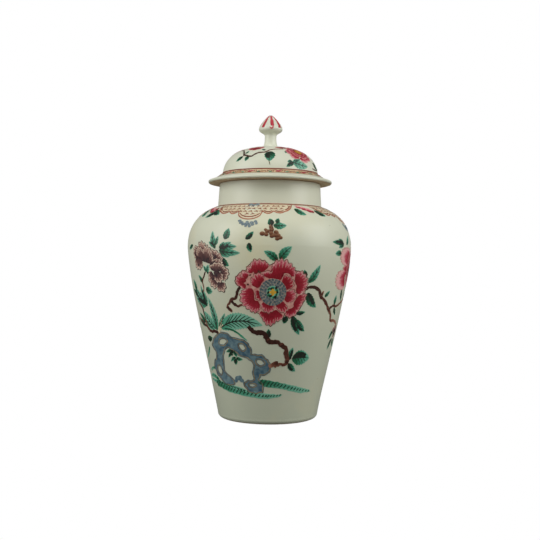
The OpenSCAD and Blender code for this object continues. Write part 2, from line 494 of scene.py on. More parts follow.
border_wash = wet()
border_lines = wet()
border_ink = wet()
ring_line = [(degrees, BORDER_TOP + 0.7) for degrees in range(-180, 181, 6)]
stroke(border_ink, jar_skin, ring_line, 1.5, 0.14, (1, 1), cell=3)
for unit in range(4):
    middle_at = LAPPET_AT + UNIT * unit

    def on_cartouche(s, t):
        offset = 72 * t - 36
        low = min(scallop(offset), BORDER_TOP)
        return middle_at + offset, low + (BORDER_TOP - low) * (1 + s) / 2

    lay(border_wash, jar_skin, (4, 60), on_cartouche, 0.09)
    edge = [(middle_at + step * 1.2, min(scallop(step * 1.2), BORDER_TOP)) for step in range(-30, 31)]
    stroke(border_lines, jar_skin, edge, 0.95, 0.15, (1, 1), cell=1.2)
    for from_at, to_at, inset in ((-33, -27, 1.5), (-26, -19, 1.5), (-17, -10.6, 1.6), (-8, 8, 2.3),
                                  (10.6, 17, 1.6), (19, 26, 1.5), (27, 33, 1.5)):
        steps = [from_at + (to_at - from_at) * step / 8 for step in range(9)]
        path = [(middle_at + at, min(scallop(at) + inset, BORDER_TOP)) for at in steps]
        stroke(border_ink, jar_skin, path, 0.95, 0.16, (0.5, 0.5), cell=1.2)
    dice = random.Random(unit)
    for row in range(5):
        up = BORDER_TOP - 2.0 - row * 2.6
        for column in range(-7, 8):
            offset = (column + 0.5 * (row % 2)) * 4.5 + dice.uniform(-0.5, 0.5)
            if abs(offset) > 32 or up - scallop(offset) < (3.0 if row else 1.0):
                continue
            turn = dice.uniform(-35, 35)
            for leg in (90, 210, 330):
                far = (middle_at + offset + 1.8 * math.cos(math.radians(leg + turn)),
                       up + 1.15 * math.sin(math.radians(leg + turn)))
                bent = ((middle_at + offset + far[0]) / 2 + 0.25, (up + far[1]) / 2 + 0.4)
                stroke(border_ink, jar_skin, [(middle_at + offset, up), bent, far], 0.72, 0.13, (1, 0.5))
iron_red_dark = thin_enamel("iron_red_ink", paint(100, 28, 22), paint(132, 56, 42))
fire(border_wash, "border_wash", iron_wash, "iron_red_enamel")
fire(border_lines, "border_lines", iron_red, "iron_red_enamel")
iron_red_soft = thin_enamel("iron_red_soft", paint(104, 40, 28), paint(160, 98, 70), 600.0)
fire(border_ink, "border_diaper", iron_red_soft, "iron_red_enamel")
border_cream = thin_enamel("pale_ground", paint(198, 184, 148), paint(210, 200, 166), 40.0, 0.25)


# Border flowers. Between the cartouches, and hanging under each lappet, small blossoms and leaves
# in thick enamel over black ink.
def shaded_enamel(name, stops, streak=(7.0, 1.6), spread=0.35, tone_pull=0.5, roughness=0.45, grain=0.1):
    """Thick enamel that runs from one colour at the start of a sheet to another at its end, in
    streaks that follow the brush, and leans to the first colours as the tone rises."""
    material, tree, shader = new_finish(name, Roughness=roughness, Coat_Weight=0.1,
                                        Coat_Roughness=0.3, Specular_IOR_Level=0.2)
    wash = add(tree, "UVMap", uv_map="wash").outputs["UV"]
    parts = add(tree, "SeparateXYZ", {0: wash})
    tone = add(tree, "Attribute", attribute_name="tone").outputs["Fac"]
    place = add(tree, "TexCoord").outputs["Object"]
    shift = add(tree, "CombineXYZ", {"X": 0.0, "Y": 0.0, "Z": maths(tree, "MULTIPLY", tone, 40.0)})
    stretched = add(tree, "VectorMath", {0: wash, 1: (streak[0], streak[1], 1)}, operation="MULTIPLY")
    moved = add(tree, "VectorMath", {0: stretched.outputs[0], 1: shift.outputs[0]}, operation="ADD")
    streaks = mottle(tree, moved.outputs[0], 1.0, 4.0)
    side = maths(tree, "POWER", maths(tree, "ABSOLUTE", parts.outputs["X"]), 3.0)
    value = maths(tree, "MULTIPLY_ADD", side, 0.22, parts.outputs["Y"])
    value = maths(tree, "MULTIPLY_ADD", maths(tree, "SUBTRACT", streaks, 0.5), spread * 2, value)
    specks = mottle(tree, place, 800.0, 2.0)
    value = maths(tree, "MULTIPLY_ADD", maths(tree, "SUBTRACT", specks, 0.5), grain * 2, value)
    lean = maths(tree, "MULTIPLY", maths(tree, "SUBTRACT", 0.5, tone), tone_pull)
    value = maths(tree, "ADD", value, lean)
    tree.links.new(ramp(tree, value, stops), shader.inputs["Base Color"])
    bump = add(tree, "Bump", {"Height": mottle(tree, place, 500.0, 2.0), "Strength": 0.2,
                              "Distance": 0.00005})
    tree.links.new(bump.outputs[0], shader.inputs["Normal"])
    return material


rose = shaded_enamel("rose_enamel", [(0.1, paint(122, 14, 26)), (0.46, paint(150, 26, 42)),
                                     (0.72, paint(172, 58, 74)), (0.9, paint(194, 108, 118)),
                                     (1.0, paint(214, 164, 158))], grain=0.34)
leaf_green = shaded_enamel("leaf_green", [(0.0, paint(22, 66, 44)), (0.35, paint(36, 110, 76)),
                                          (0.7, paint(74, 146, 118)), (1.0, paint(112, 172, 146))],
                           streak=(3.0, 5.0), spread=0.45, tone_pull=0.9)
ink = thin_enamel("black_ink", paint(18, 26, 20), paint(38, 44, 34), roughness=0.42)
spray_grey = thin_enamel("grey_blue", paint(88, 104, 112), paint(132, 146, 148), 600.0)


def offset_from(skin, base, tip):
    """Millimetres right and up from one spot to another, with the length and mm per degree."""
    degree = skin.degree((base[1] + tip[1]) / 2)
    right, up = (tip[0] - base[0]) * degree, tip[1] - base[1]
    return right, up, math.hypot(right, up), degree


def blade(skin, base, tip, width, bend, point_at=0.8):
    """Gives the place function of a toothed leaf from its base to its tip, bowed sideways by bend."""
    right, up, length, degree = offset_from(skin, base, tip)
    side = (up / length, -right / length)
    teeth = max(3, round(length / 2.8))
    width *= 1.14

    def place(s, t):
        bow = bend * 4 * t * (1 - t)
        half = width / 2 * math.sin(math.pi * t ** point_at) ** 0.75 * s if 0 < t < 1 else 0.0
        half *= 1.06 - 0.2 * (t * teeth % 1)
        away = bow + half
        return base[0] + (right * t + side[0] * away) / degree, base[1] + up * t + side[1] * away

    return place, length


def leaf(green, lines, skin, base, tip, width, bend=0.0, tone=0.5, shade=0, veins=3, lift=0.15):
    """A leaf with ink veins. shade is the side, -1 or 1, on which black ink fills it."""
    place, length = blade(skin, base, tip, width, bend)
    cells = (max(2, math.ceil(width / 2)), max(9, math.ceil(length / 0.7)))
    lay(green, skin, cells, place, lift, tone)
    fine = 0.42 + 0.014 * length
    stroke(lines, skin, [place(0, t) for t in (0.0, 0.3, 0.6, 0.93)], fine * 1.2, lift + 0.06, (1, 0.3))
    for pair in range(veins):
        start = 0.14 + 0.62 * pair / max(veins, 1)
        for s in (-1, 1):
            path = [place(0, start), place(0.42 * s, start + 0.1), place(0.8 * s, start + 0.17)]
            stroke(lines, skin, path, fine * 0.8, lift + 0.05, (1, 0.4), cell=1.2)
    if shade:
        lay(lines, skin, (2, max(4, math.ceil(length / 2))),
            lambda s, t: place(shade * (0.42 + 0.4 * s * shade), 0.05 + 0.7 * t), lift + 0.04)


def dab(enamel, skin, centre, wide, tall, turn=0.0, lift=0.15, tone=0.5):
    """A round or oval touch of the brush."""
    degree = skin.degree(centre[1])
    cosine, sine = math.cos(math.radians(turn)), math.sin(math.radians(turn))

    def place(s, t):
        q = 2 * t - 1
        x = s * math.sqrt(1 - q * q / 2) * wide / 2
        y = q * math.sqrt(1 - s * s / 2) * tall / 2
        return centre[0] + (x * cosine - y * sine) / degree, centre[1] + x * sine + y * cosine

    lay(enamel, skin, (max(2, math.ceil(wide / 2)), max(2, math.ceil(tall / 2))), place, lift, tone)


border_rose = wet()
border_green = wet()
border_ink = wet()
border_blue = wet()
for unit in range(4):
    at = UNIT * unit
    for offset, up, wide, tall, tone in ((26, 205.0, 6.5, 3.2, -0.2), (30, 203.6, 7.0, 4.0, -0.1),
                                         (34, 202.0, 7.0, 4.4, 0.0), (36.2, 201.0, 4.0, 3.2, 0.8)):
        dab(border_rose, jar_skin, (at + offset, up), wide, tall, -8, 0.16, tone)
    leaf(border_green, border_ink, jar_skin, (at + 20.4, 202.4), (at + 28.6, 197.2), 5.0, 0.4, 0.6, 0, 2)
    leaf(border_green, border_ink, jar_skin, (at + 39, 201.6), (at + 48, 197.4), 4.6, 0.3, 0.8, 1, 2)
    for offset, up, wide in ((-21.0, 190.6, 3.8), (-19.2, 189.0, 3.6), (-16.8, 187.6, 3.8),
                             (-14.2, 187.2, 3.8), (-12.2, 188.8, 4.2), (-9.6, 189.9, 3.4),
                             (-15.4, 189.2, 3.4), (-18.4, 206.9, 4.2),
                             (-15, 206.2, 3.4), (-11.6, 207.0, 4.2)):
        dab(border_blue, jar_skin, (at + offset, up), wide, 2.4, 0, 0.19, 0.35)
        if up < 200:
            dab(border_blue, jar_skin, (at + offset + 0.8, up - 1.7), wide * 0.8, 2.4, 20, 0.19, 0.35)
leaf(border_green, border_ink, jar_skin, (-47.5, 200.0), (-57.5, 195.2), 4.6, 0.3, 0.7, -1, 3)
dab(border_rose, jar_skin, (-52.5, 203.2), 5.0, 3.0, 0, 0.18, 1.0)
fire(border_rose, "border_flowers", rose, "rose_enamel")
fire(border_green, "border_leaves", leaf_green, "green_enamel")
fire(border_ink, "border_leaf_ink", ink, "black_enamel")
fire(border_blue, "border_blue_sprays", spray_grey, "blue_enamel")


# Large rose peony on the front. Each petal is a separate touch of opaque rose, deep crimson at its
# root and nearly white at its frilled edge, round a blue-grey ruff of stamens with a yellow heart.
def petal(enamel, lines, skin, centre, toward, near, far, width, tone, lift=0.16, frill=3):
    """A petal seen from above, toward so many degrees clockwise from up, between two distances in
    mm from the flower's centre."""
    degree = skin.degree(centre[1])
    sine, cosine = math.sin(math.radians(toward)), math.cos(math.radians(toward))
    depth = far - near

    def place(s, t):
        swell = 0.62 + 0.38 * math.sin(math.pi * min(0.15 + 0.62 * t, 1))
        reach = 1 - 0.2 * s * s - 0.16 * abs(s) ** 6 + 0.05 * math.cos(frill * math.pi * s)
        out = near + depth * (t * reach + 0.1 * s * s * (1 - t))
        across = width / 2 * s * swell * (1 - 0.12 * t * t * abs(s))
        x, y = sine * out + cosine * across, cosine * out - sine * across
        return centre[0] + x / degree, centre[1] + y

    cells = (max(6, math.ceil(width / 1.3)), max(4, math.ceil(depth / 1.6)))
    lay(enamel, skin, cells, place, lift, tone)
    rim = ([place(-1, t / 4) for t in range(1, 5)] + [place(s / 6, 1) for s in range(-5, 6)]
           + [place(1, t / 4) for t in range(4, 0, -1)])
    stroke(lines, skin, rim, 0.34, lift + 0.07, (0.5, 0.5), tone, cell=1.2)


def shape(enamel, lines, skin, centre, root, rim, tone=0.5, lift=0.16, line=0.8, grow=1.0, hairs=(),
          over=0.05, edge=None):
    """A petal painted from its root to its scalloped rim, two curves in mm right of and above the
    centre. Hairs are two more batches, for dark strokes out of the root and pale ones at the rim.
    The line round the rim lies so far over the petal, with a thin edge line just outside it."""
    degree = skin.degree(centre[1])
    corners = list(root) + list(rim)
    middle = [sum(corner[axis] for corner in corners) / len(corners) for axis in (0, 1)]
    wide = sum(math.dist(a, b) for a, b in zip(rim, rim[1:])) * grow
    deep = math.dist(spline(root, 0.5), spline(rim, 0.5)) * grow
    frills = max(2, round(wide / 4.2))

    def place(s, t):
        low, high = spline(root, (s + 1) / 2), spline(rim, (s + 1) / 2)
        out = t + 0.08 * t ** 3 * (2 * abs(math.cos(frills * math.pi * s / 2)) - 1)
        x, y = (m + grow * (a + (b - a) * out - m) for a, b, m in zip(low, high, middle))
        return centre[0] + x / degree, centre[1] + y

    lay(enamel, skin, (max(8, math.ceil(wide / 1.0)), max(4, math.ceil(deep / 1.6))), place, lift, tone)
    path = [place(step / (2 * frills), 1) for step in range(-2 * frills, 2 * frills + 1)]
    stroke(lines, skin, path, line, lift + over, (0.4, 0.4), tone, 0.5, cell=1.2)
    if edge:
        reach = 1 + 0.75 / deep
        path = [place(step / (2 * frills), reach) for step in range(-2 * frills, 2 * frills + 1)]
        stroke(edge, skin, path, 0.55, lift + over + 0.01, (0.4, 0.4), tone, 0.6, cell=1.2)
    for order, batch in enumerate(hairs):
        start, end = ((0.03, 0.74), (0.66, 1.0))[order]
        count = max(3, round(wide / (2.3, 3.0)[order]))
        for number in range(count):
            s = 2 * (number + 0.3 + 0.4 * order) / count - 1
            path = [place(s, start), place(s * 0.97, (start + end) / 2), place(s, end)]
            stroke(batch, skin, path, (0.85, 0.55)[order], lift + 0.02 + 0.015 * order, (0.5, 0.3),
                   0.5, 0.3, cell=2)


PEONY = (2.8, 125.9)
PEONY_GROUND = ((-19, 25.5), (-14, 28.6), (-7, 27.8), (-3.5, 24.5), (0, 25.8), (6, 28.6), (13, 26.5),
                (19, 20), (23.5, 18.8), (30, 13), (31.5, 6), (30, 0), (31.5, -5), (28.6, -11), (24, -18.5),
                (17, -22.6), (12.4, -19.5), (9.5, -24), (3, -26.5), (-1, -29.8), (-6, -28.6), (-9.5, -24),
                (-13, -19.5), (-17, -18.2), (-25, -13.6), (-29, -8), (-29.4, -2), (-25, 3), (-28, 3.2),
                (-33.4, 7), (-33.4, 12), (-28.8, 17.6), (-23, 20), (-21.5, 23.5))
PEONY_PETALS = (
    # top left, with the small one beside it
    (((-18, 20.4), (-16, 17.2), (-12, 17.6), (-7.9, 19.2), (-4.8, 22.2)),
     ((-19.6, 23.6), (-17.6, 27.4), (-13.8, 28.3), (-9.6, 27.8), (-6.2, 26.6), (-4, 23.8)), 0.62),
    (((-20.6, 17.2), (-18.2, 17.4), (-17.6, 20)), ((-22.8, 18.6), (-22.4, 21.8), (-19.4, 22.8)), 0.3),
    # top right, folded, with the pink strip on its left
    (((-5.7, 13.6), (-1, 12.2), (4, 11), (7.4, 12.2), (8.4, 16.4), (12.6, 17.4), (16.3, 14.6)),
     ((-1.4, 20.6), (0.2, 25.4), (5.6, 28.3), (11, 27.4), (15.8, 23.8), (18.9, 19.4), (19.2, 14.6)), 0.7),
    (((-7.4, 14.4), (-4.8, 13.4), (-1.4, 14.2)), ((-8.6, 17.4), (-5.6, 18.8), (-2.2, 17.8), (-0.6, 20.2)),
     0.35),
    # right, the outer one and the two inside it
    (((19.8, 14), (20, 9.5), (21.8, 6), (21.4, 2.3), (22.2, -0.5)),
     ((20.4, 17.4), (24.4, 18.5), (28.2, 15.6), (30.8, 11.6), (31.2, 6.6), (29.6, 2), (26.4, -1.8)), 0.68),
    (((8.1, 9.6), (9.3, 6.8), (10.6, 4.1), (12.4, 2.4)),
     ((9.4, 14.6), (13, 14.4), (16.6, 11.6), (17.9, 8), (17.2, 4.2), (14.6, 3)), 1.15),
    (((11.3, -0.9), (10.8, -4), (11.3, -6.8), (12.9, -8.6)),
     ((13, 0.2), (16.8, 2), (19.8, 0.2), (21.4, -3.4), (19.8, -6.6), (16.2, -9.2)), 0.6),
    # lower right, a curl round a pale gap
    (((24, -4), (21.6, -7.2), (20.2, -10), (20.6, -12.8), (22, -15.8)),
     ((26.8, -2.2), (30.4, -1.8), (31, -5), (29, -9.2), (26.6, -13.6), (25, -16.6)), 0.72),
    (((21.4, -12.4), (18.6, -14.6), (15.8, -15.6), (13.8, -16.8)),
     ((25, -16.4), (21.8, -20.2), (17.2, -22.3), (13.4, -20.6), (12, -18.2)), 0.6),
    # bottom, two inner ones over a large outer one
    (((-10.6, -17.4), (-7.4, -18.6), (-3.4, -18.6), (0.2, -17.8), (3, -16.4), (6.1, -18.4), (9, -20.4)),
     ((-12.2, -20), (-9.4, -23.6), (-7.2, -27), (-3.4, -29.5), (0.8, -28.4), (3.6, -26), (7.2, -25.2),
      (10, -22.8)), 0.85),
    (((3.6, -11.2), (5.2, -9), (7.5, -8.1), (9.8, -8.6)),
     ((3.8, -14.2), (6.2, -16.2), (9.8, -17.8), (13, -16.8), (14, -13.6), (11, -9.8)), 0.9),
    (((-8.4, -9.4), (-6.1, -8.1), (-3.4, -9.4), (-0.7, -11.2)),
     ((-10.8, -11.4), (-8.6, -15.6), (-5.6, -17.8), (-2, -17.8), (0.8, -15), (1.2, -11.8)), 0.75),
    # left, the large outer one and the small inner one
    (((-19, 2.7), (-17.4, 0), (-17.2, -4.5), (-16.6, -7.6), (-14, -8.2), (-12.2, -11.2)),
     ((-22.8, 3), (-27, 1.2), (-29.2, -3), (-28.6, -9.4), (-25, -13.4), (-20, -16.6), (-15.8, -17.8),
      (-12.4, -15.2)), 0.62),
    (((-13.3, 1.4), (-11.5, -0.5), (-9.7, -3.6), (-9, -6.3)),
     ((-15.2, 1), (-15.4, -3.2), (-13.6, -6.4), (-10.8, -7.4)), 1.3),
    # upper left, the inner one and the two small outer ones
    (((-17.6, 5.8), (-14.3, 4.1), (-12, 5), (-10, 8.6), (-8.2, 11)),
     ((-19, 7), (-19.4, 10), (-17.2, 13.6), (-14.6, 16), (-10.4, 15.9), (-8.2, 13.2)), 0.72),
    (((-26, 12.2), (-23.6, 12.2), (-22, 14.5)), ((-28.2, 14), (-27.6, 17.4), (-25, 18.5), (-21.8, 16.8)),
     0.4),
    (((-24.6, 12), (-24.4, 9.5), (-26.6, 8), (-24.8, 6.6), (-24.8, 4.1)),
     ((-26.6, 13), (-31, 14), (-33.2, 11), (-33, 8), (-29.8, 5), (-26.4, 2.8)), 0.8))
front_rose = wet()
front_rims = wet()
front_deep = wet()
front_edge = wet()
for count, (root, rim, tone) in enumerate(PEONY_PETALS):
    shape(front_rose, front_rims, jar_skin, PEONY, root, rim, tone, 0.14 + 0.008 * count, 0.7, 1.04,
          (front_deep, front_rims), 0.05, front_edge)
for toward in range(-170, 190, 40):
    petal(front_rose, front_rims, jar_skin, PEONY, toward, 6.5, 12.6, 9.0, 1.2, 0.12)
front_ink = wet()
for right, up, wide, tall, turn in ((-12, 18.6, 3.6, 1.7, -25), (-20.2, 15.4, 2.4, 1.1, 20),
                                    (-22.6, 6.8, 2.2, 1.8, 0), (-22.8, 14.4, 1.4, 0.8, 20)):
    degree = jar_skin.degree(PEONY[1])
    dab(front_ink, jar_skin, (PEONY[0] + right / degree, PEONY[1] + up), wide, tall, turn, 0.3)
rim_line = thin_enamel("petal_outline", paint(178, 108, 108), paint(212, 172, 156), 700.0)
crimson = thin_enamel("crimson_stroke", paint(118, 18, 28), paint(152, 30, 46), 500.0)
sepia = thin_enamel("sepia_ink", paint(58, 30, 24), paint(96, 60, 46), 500.0)


def fill(skin, edge, holes, lift, cell=2.6):
    """A sheet of enamel inside a smooth closed edge, less the holes, cut fine enough to bend."""
    sheet = wet()
    degree = skin.degree(sum(up for right, up in edge) / len(edge))
    for loop in (edge,) + tuple(holes):
        closed = tuple(loop) + (loop[0],)
        count = len(loop) * 4
        turns = [spline(closed, step / count) for step in range(count)]
        corners = [sheet.verts.new((right * degree, up, 0)) for right, up in turns]
        for index in range(count):
            sheet.edges.new((corners[index - 1], corners[index]))
    bmesh.ops.triangle_fill(sheet, edges=sheet.edges, use_beauty=True, normal=(0, 0, 1))
    for axis in (0, 1):
        places = [vertex.co[axis] for vertex in sheet.verts]
        cut = min(places) + cell
        while cut < max(places):
            origin = Vector((cut, 0, 0)) if axis == 0 else Vector((0, cut, 0))
            across = Vector((1, 0, 0)) if axis == 0 else Vector((0, 1, 0))
            whole = sheet.verts[:] + sheet.edges[:] + sheet.faces[:]
            bmesh.ops.bisect_plane(sheet, geom=whole, dist=1e-5, plane_co=origin, plane_no=across)
            cut += cell
    wash = sheet.loops.layers.uv["wash"]
    for face in sheet.faces:
        if face.normal.z < 0:
            face.normal_flip()
        for loop in face.loops:
            loop[wash].uv = (loop.vert.co.x / 500, 0.45)
    for vertex in sheet.verts:
        vertex[sheet.verts.layers.float["tone"]] = 0.5
        vertex.co = skin.spot(vertex.co.x / degree, vertex.co.y, lift)
    return sheet


degree = jar_skin.degree(PEONY[1])
ground_edge = [(PEONY[0] + 1.02 * right / degree, PEONY[1] + 1.01 * up) for right, up in PEONY_GROUND]
petal_blush = thin_enamel("petal_blush", paint(182, 118, 112), paint(206, 166, 148), 260.0)
fire(fill(jar_skin, ground_edge, (), 0.07), "front_peony_ground", petal_blush, "rose_enamel")
stroke(front_ink, jar_skin, ground_edge + ground_edge[:1], 0.6, 0.12, cell=1.4)
fire(front_rose, "front_peony_petals", rose, "rose_enamel")
fire(front_deep, "front_peony_strokes", crimson, "rose_enamel")
edge_line = thin_enamel("petal_edge_ink", paint(84, 36, 34), paint(132, 74, 66), 500.0)
fire(front_edge, "front_peony_edges", edge_line, "brown_enamel")
fire(front_rims, "front_peony_outlines", rim_line, "rose_enamel")
fire(front_ink, "front_peony_sepia", sepia, "brown_enamel")


def heart(parts, skin, centre, size, seed, lift=0.34):
    """The middle of a flower: a ruff of blue-grey touches, then green and black ones on a pale
    green ground, round a yellow cross."""
    ruff_blue, green, black, yellow = parts
    dice = random.Random(seed)
    degree = skin.degree(centre[1])

    def out_at(turn, out):
        return centre[0] + math.sin(turn) * out * size / degree, centre[1] + math.cos(turn) * out * size

    for row, (out, count) in enumerate(((6.9, 16), (9.1, 20), (11.2, 24))):
        for number in range(count):
            turn = math.tau * (number + 0.5 * (row % 2) + dice.uniform(-0.2, 0.2)) / count
            dab(ruff_blue, skin, out_at(turn, out), dice.uniform(2.1, 2.9) * size,
                dice.uniform(2.0, 2.6) * size, -math.degrees(turn), lift)
    dab(green, skin, centre, 11.4 * size, 11.8 * size, 0, lift - 0.02, -0.4)
    for count in range(12):
        turn = math.tau * (count + dice.uniform(-0.3, 0.3)) / 12
        kind = black if count % 2 else green
        dab(kind, skin, out_at(turn, dice.uniform(3.4, 5.0)), dice.uniform(2.2, 3.6) * size,
            dice.uniform(2.0, 2.8) * size, dice.uniform(0, 90), lift + 0.03, 0.9)
    for turn in (0, 90, 180, 270, 0):
        dab(yellow, skin, out_at(math.radians(turn), 1.8), 2.8 * size, 2.8 * size, 45, lift + 0.05)
    dab(yellow, skin, centre, 3.0 * size, 3.0 * size, 0, lift + 0.07)


yellow_enamel = thin_enamel("yellow_enamel", paint(176, 128, 34), paint(214, 170, 60), 400.0, 0.4)
hearts = [wet(), wet(), wet(), wet()]
heart(hearts, jar_skin, PEONY, 1.0, 3, 0.36)
ruff_grey = thin_enamel("ruff_grey", paint(58, 72, 78), paint(112, 124, 124), 600.0)
ruff_wash = thin_enamel("ruff_wash", paint(128, 120, 110), paint(160, 150, 136), 260.0)
heart_ground = wet()
dab(heart_ground, jar_skin, PEONY, 24.6, 24.6, 0, 0.32)
fire(heart_ground, "front_peony_heart_ground", ruff_wash, "blue_enamel")
for batch, (name, finish, slot) in zip(hearts, (
        ("front_peony_ruff", ruff_grey, "blue_enamel"), ("front_peony_carpels", leaf_green, "green_enamel"),
        ("front_peony_ink", ink, "black_enamel"), ("front_peony_heart", yellow_enamel, "yellow_enamel"))):
    fire(batch, name, finish, slot)

front_leaves = wet()
front_leaf_ink = wet()
for base, tip, width, bend, tone, shade in (
        ((5.6, 154.5), (-3.4, 163.2), 6.4, 0.8, 0.55, 0), ((6.8, 155.5), (14.6, 167.5), 7.6, -1.0, 0.45, 0),
        ((28.0, 134.6), (36.4, 151.4), 6.6, 1.2, 0.45, 0), ((25.6, 139.0), (24.0, 146.6), 3.6, 0.4, 1.0, 1),
        ((28.2, 125.4), (37.0, 111.6), 7.4, 1.6, 0.9, -1), ((13.4, 103.6), (11.6, 97.0), 5.0, 0.2, 1.2, 1),
        ((20.4, 106.4), (28.0, 107.8), 3.6, 0.4, 0.9, 1),
        ((18.0, 104.2), (25.0, 86.2), 6.6, 0.8, 0.75, 1), ((19.6, 101.0), (28.6, 92.6), 5.0, 0.6, 0.7, 0),
        ((18.4, 102.0), (19.4, 91.6), 4.2, -0.6, 0.6, 0), ((22.0, 96.6), (29.4, 89.6), 4.2, 0.5, 0.9, 1)):
    leaf(front_leaves, front_leaf_ink, jar_skin, base, tip, width, bend, tone, shade)
fire(front_leaves, "front_peony_leaves", leaf_green, "green_enamel")
fire(front_leaf_ink, "front_peony_leaf_ink", ink, "black_enamel")


# Branches on the front. Crooked wood in thick brown-black enamel, knotted where a twig leaves it,
# with paler strokes along the lit side.
bark = shaded_enamel("bark_enamel", [(0.0, paint(52, 26, 18)), (0.5, paint(84, 46, 34)),
                                     (0.8, paint(122, 78, 60)), (1.0, paint(150, 106, 86))],
                     streak=(2.0, 26.0), spread=0.5, tone_pull=0.8)
front_wood = wet()
for points, width, tone in (
        (((-19.8, 130.4), (-21.8, 127.6), (-22.8, 124), (-24.2, 119.8), (-27.6, 118.6), (-29.4, 115.4),
          (-31.8, 111.8)), 2.6, 0.9),
        (((-31.9, 112.2), (-30.4, 109.8), (-27.8, 107.2)), 3.0, 1.0),
        (((-28, 117.4), (-25.2, 114.2), (-22.4, 112.6), (-19.4, 114.2)), 2.6, 0.9),
        (((25.6, 128.6), (29, 130.4), (34, 130.3), (38, 127.6), (40, 122.4), (42.4, 120.2), (46.4, 116.4),
          (48.6, 113.4), (50.6, 110.2), (53.2, 107.2), (56, 103), (57, 98.8), (62, 98.2), (67, 96.4),
          (72, 93.0)), 3.0, 0.55),
        (((40.4, 121.2), (41.6, 124.6), (42.4, 127.0)), 2.2, 0.5),
        (((51.6, 109.2), (54, 111.4), (58, 112.8), (62, 112.0), (68, 114), (75, 116.4), (82, 118)), 2.3,
         0.5),
        (((-15.2, 94.4), (-13.6, 91.4), (-10.8, 88.6), (-6, 88.8), (-3.4, 87.6), (-1.4, 84.4), (0.2, 80.8),
          (3, 79.6), (7.4, 79.8), (10.2, 77.2), (12.6, 75.6), (15.2, 73), (14.8, 69.4), (15.8, 65.6),
          (17.2, 61.6), (14.6, 58.6), (10, 58.6), (5.4, 56.6)), 4.3, 0.95),
        (((8.6, 59.8), (5.6, 59.6), (3.2, 57.6), (0.6, 56.6)), 4.0, 0.35)):
    stroke(front_wood, jar_skin, points, width, 0.22, (0.8, 0.55), tone, 0.55, cell=1.1)
for centre, wide, tall in (((-31.2, 111.2), 3.4, 2.6), ((40.4, 121.6), 3.0, 2.6), ((51.4, 109.2), 2.8, 2.8),
                           ((10.8, 76.8), 4.4, 3.2), ((16.2, 61.6), 4.2, 4.0), ((0.2, 81.4), 3.6, 3.0),
                           ((57.2, 98.6), 3.0, 2.2)):
    dab(front_wood, jar_skin, centre, wide, tall, 30, 0.24, 0.9)
fire(front_wood, "front_branches", bark, "brown_enamel")

branch_leaves = wet()
branch_ink = wet()
for base, tip, width, bend, tone, shade in (
        ((44.4, 121.6), (49.4, 127.0), 3.6, 0.3, 0.5, 0), ((58.2, 113.6), (59.4, 122.8), 4.4, 0.3, 0.5, 0),
        ((59.0, 110.8), (63.6, 103.4), 3.6, 0.2, 0.8, 1), ((0.6, 84.0), (0.2, 92.0), 4.0, -0.3, 1.1, 1),
        ((18.6, 64.4), (21.0, 74.6), 4.2, -0.5, 0.55, 1), ((20.8, 64.0), (38.2, 63.6), 12.6, -0.8, 0.5, -1),
        ((17.8, 59.6), (25.2, 51.6), 5.0, 0.8, 0.65, 1), ((17.6, 62.6), (19.8, 68.0), 2.8, 0.2, 1.2, 1)):
    leaf(branch_leaves, branch_ink, jar_skin, base, tip, width, bend, tone, shade, 4 if width > 8 else 3)
fire(branch_leaves, "front_branch_leaves", leaf_green, "green_enamel")
fire(branch_ink, "front_branch_leaf_ink", ink, "black_enamel")


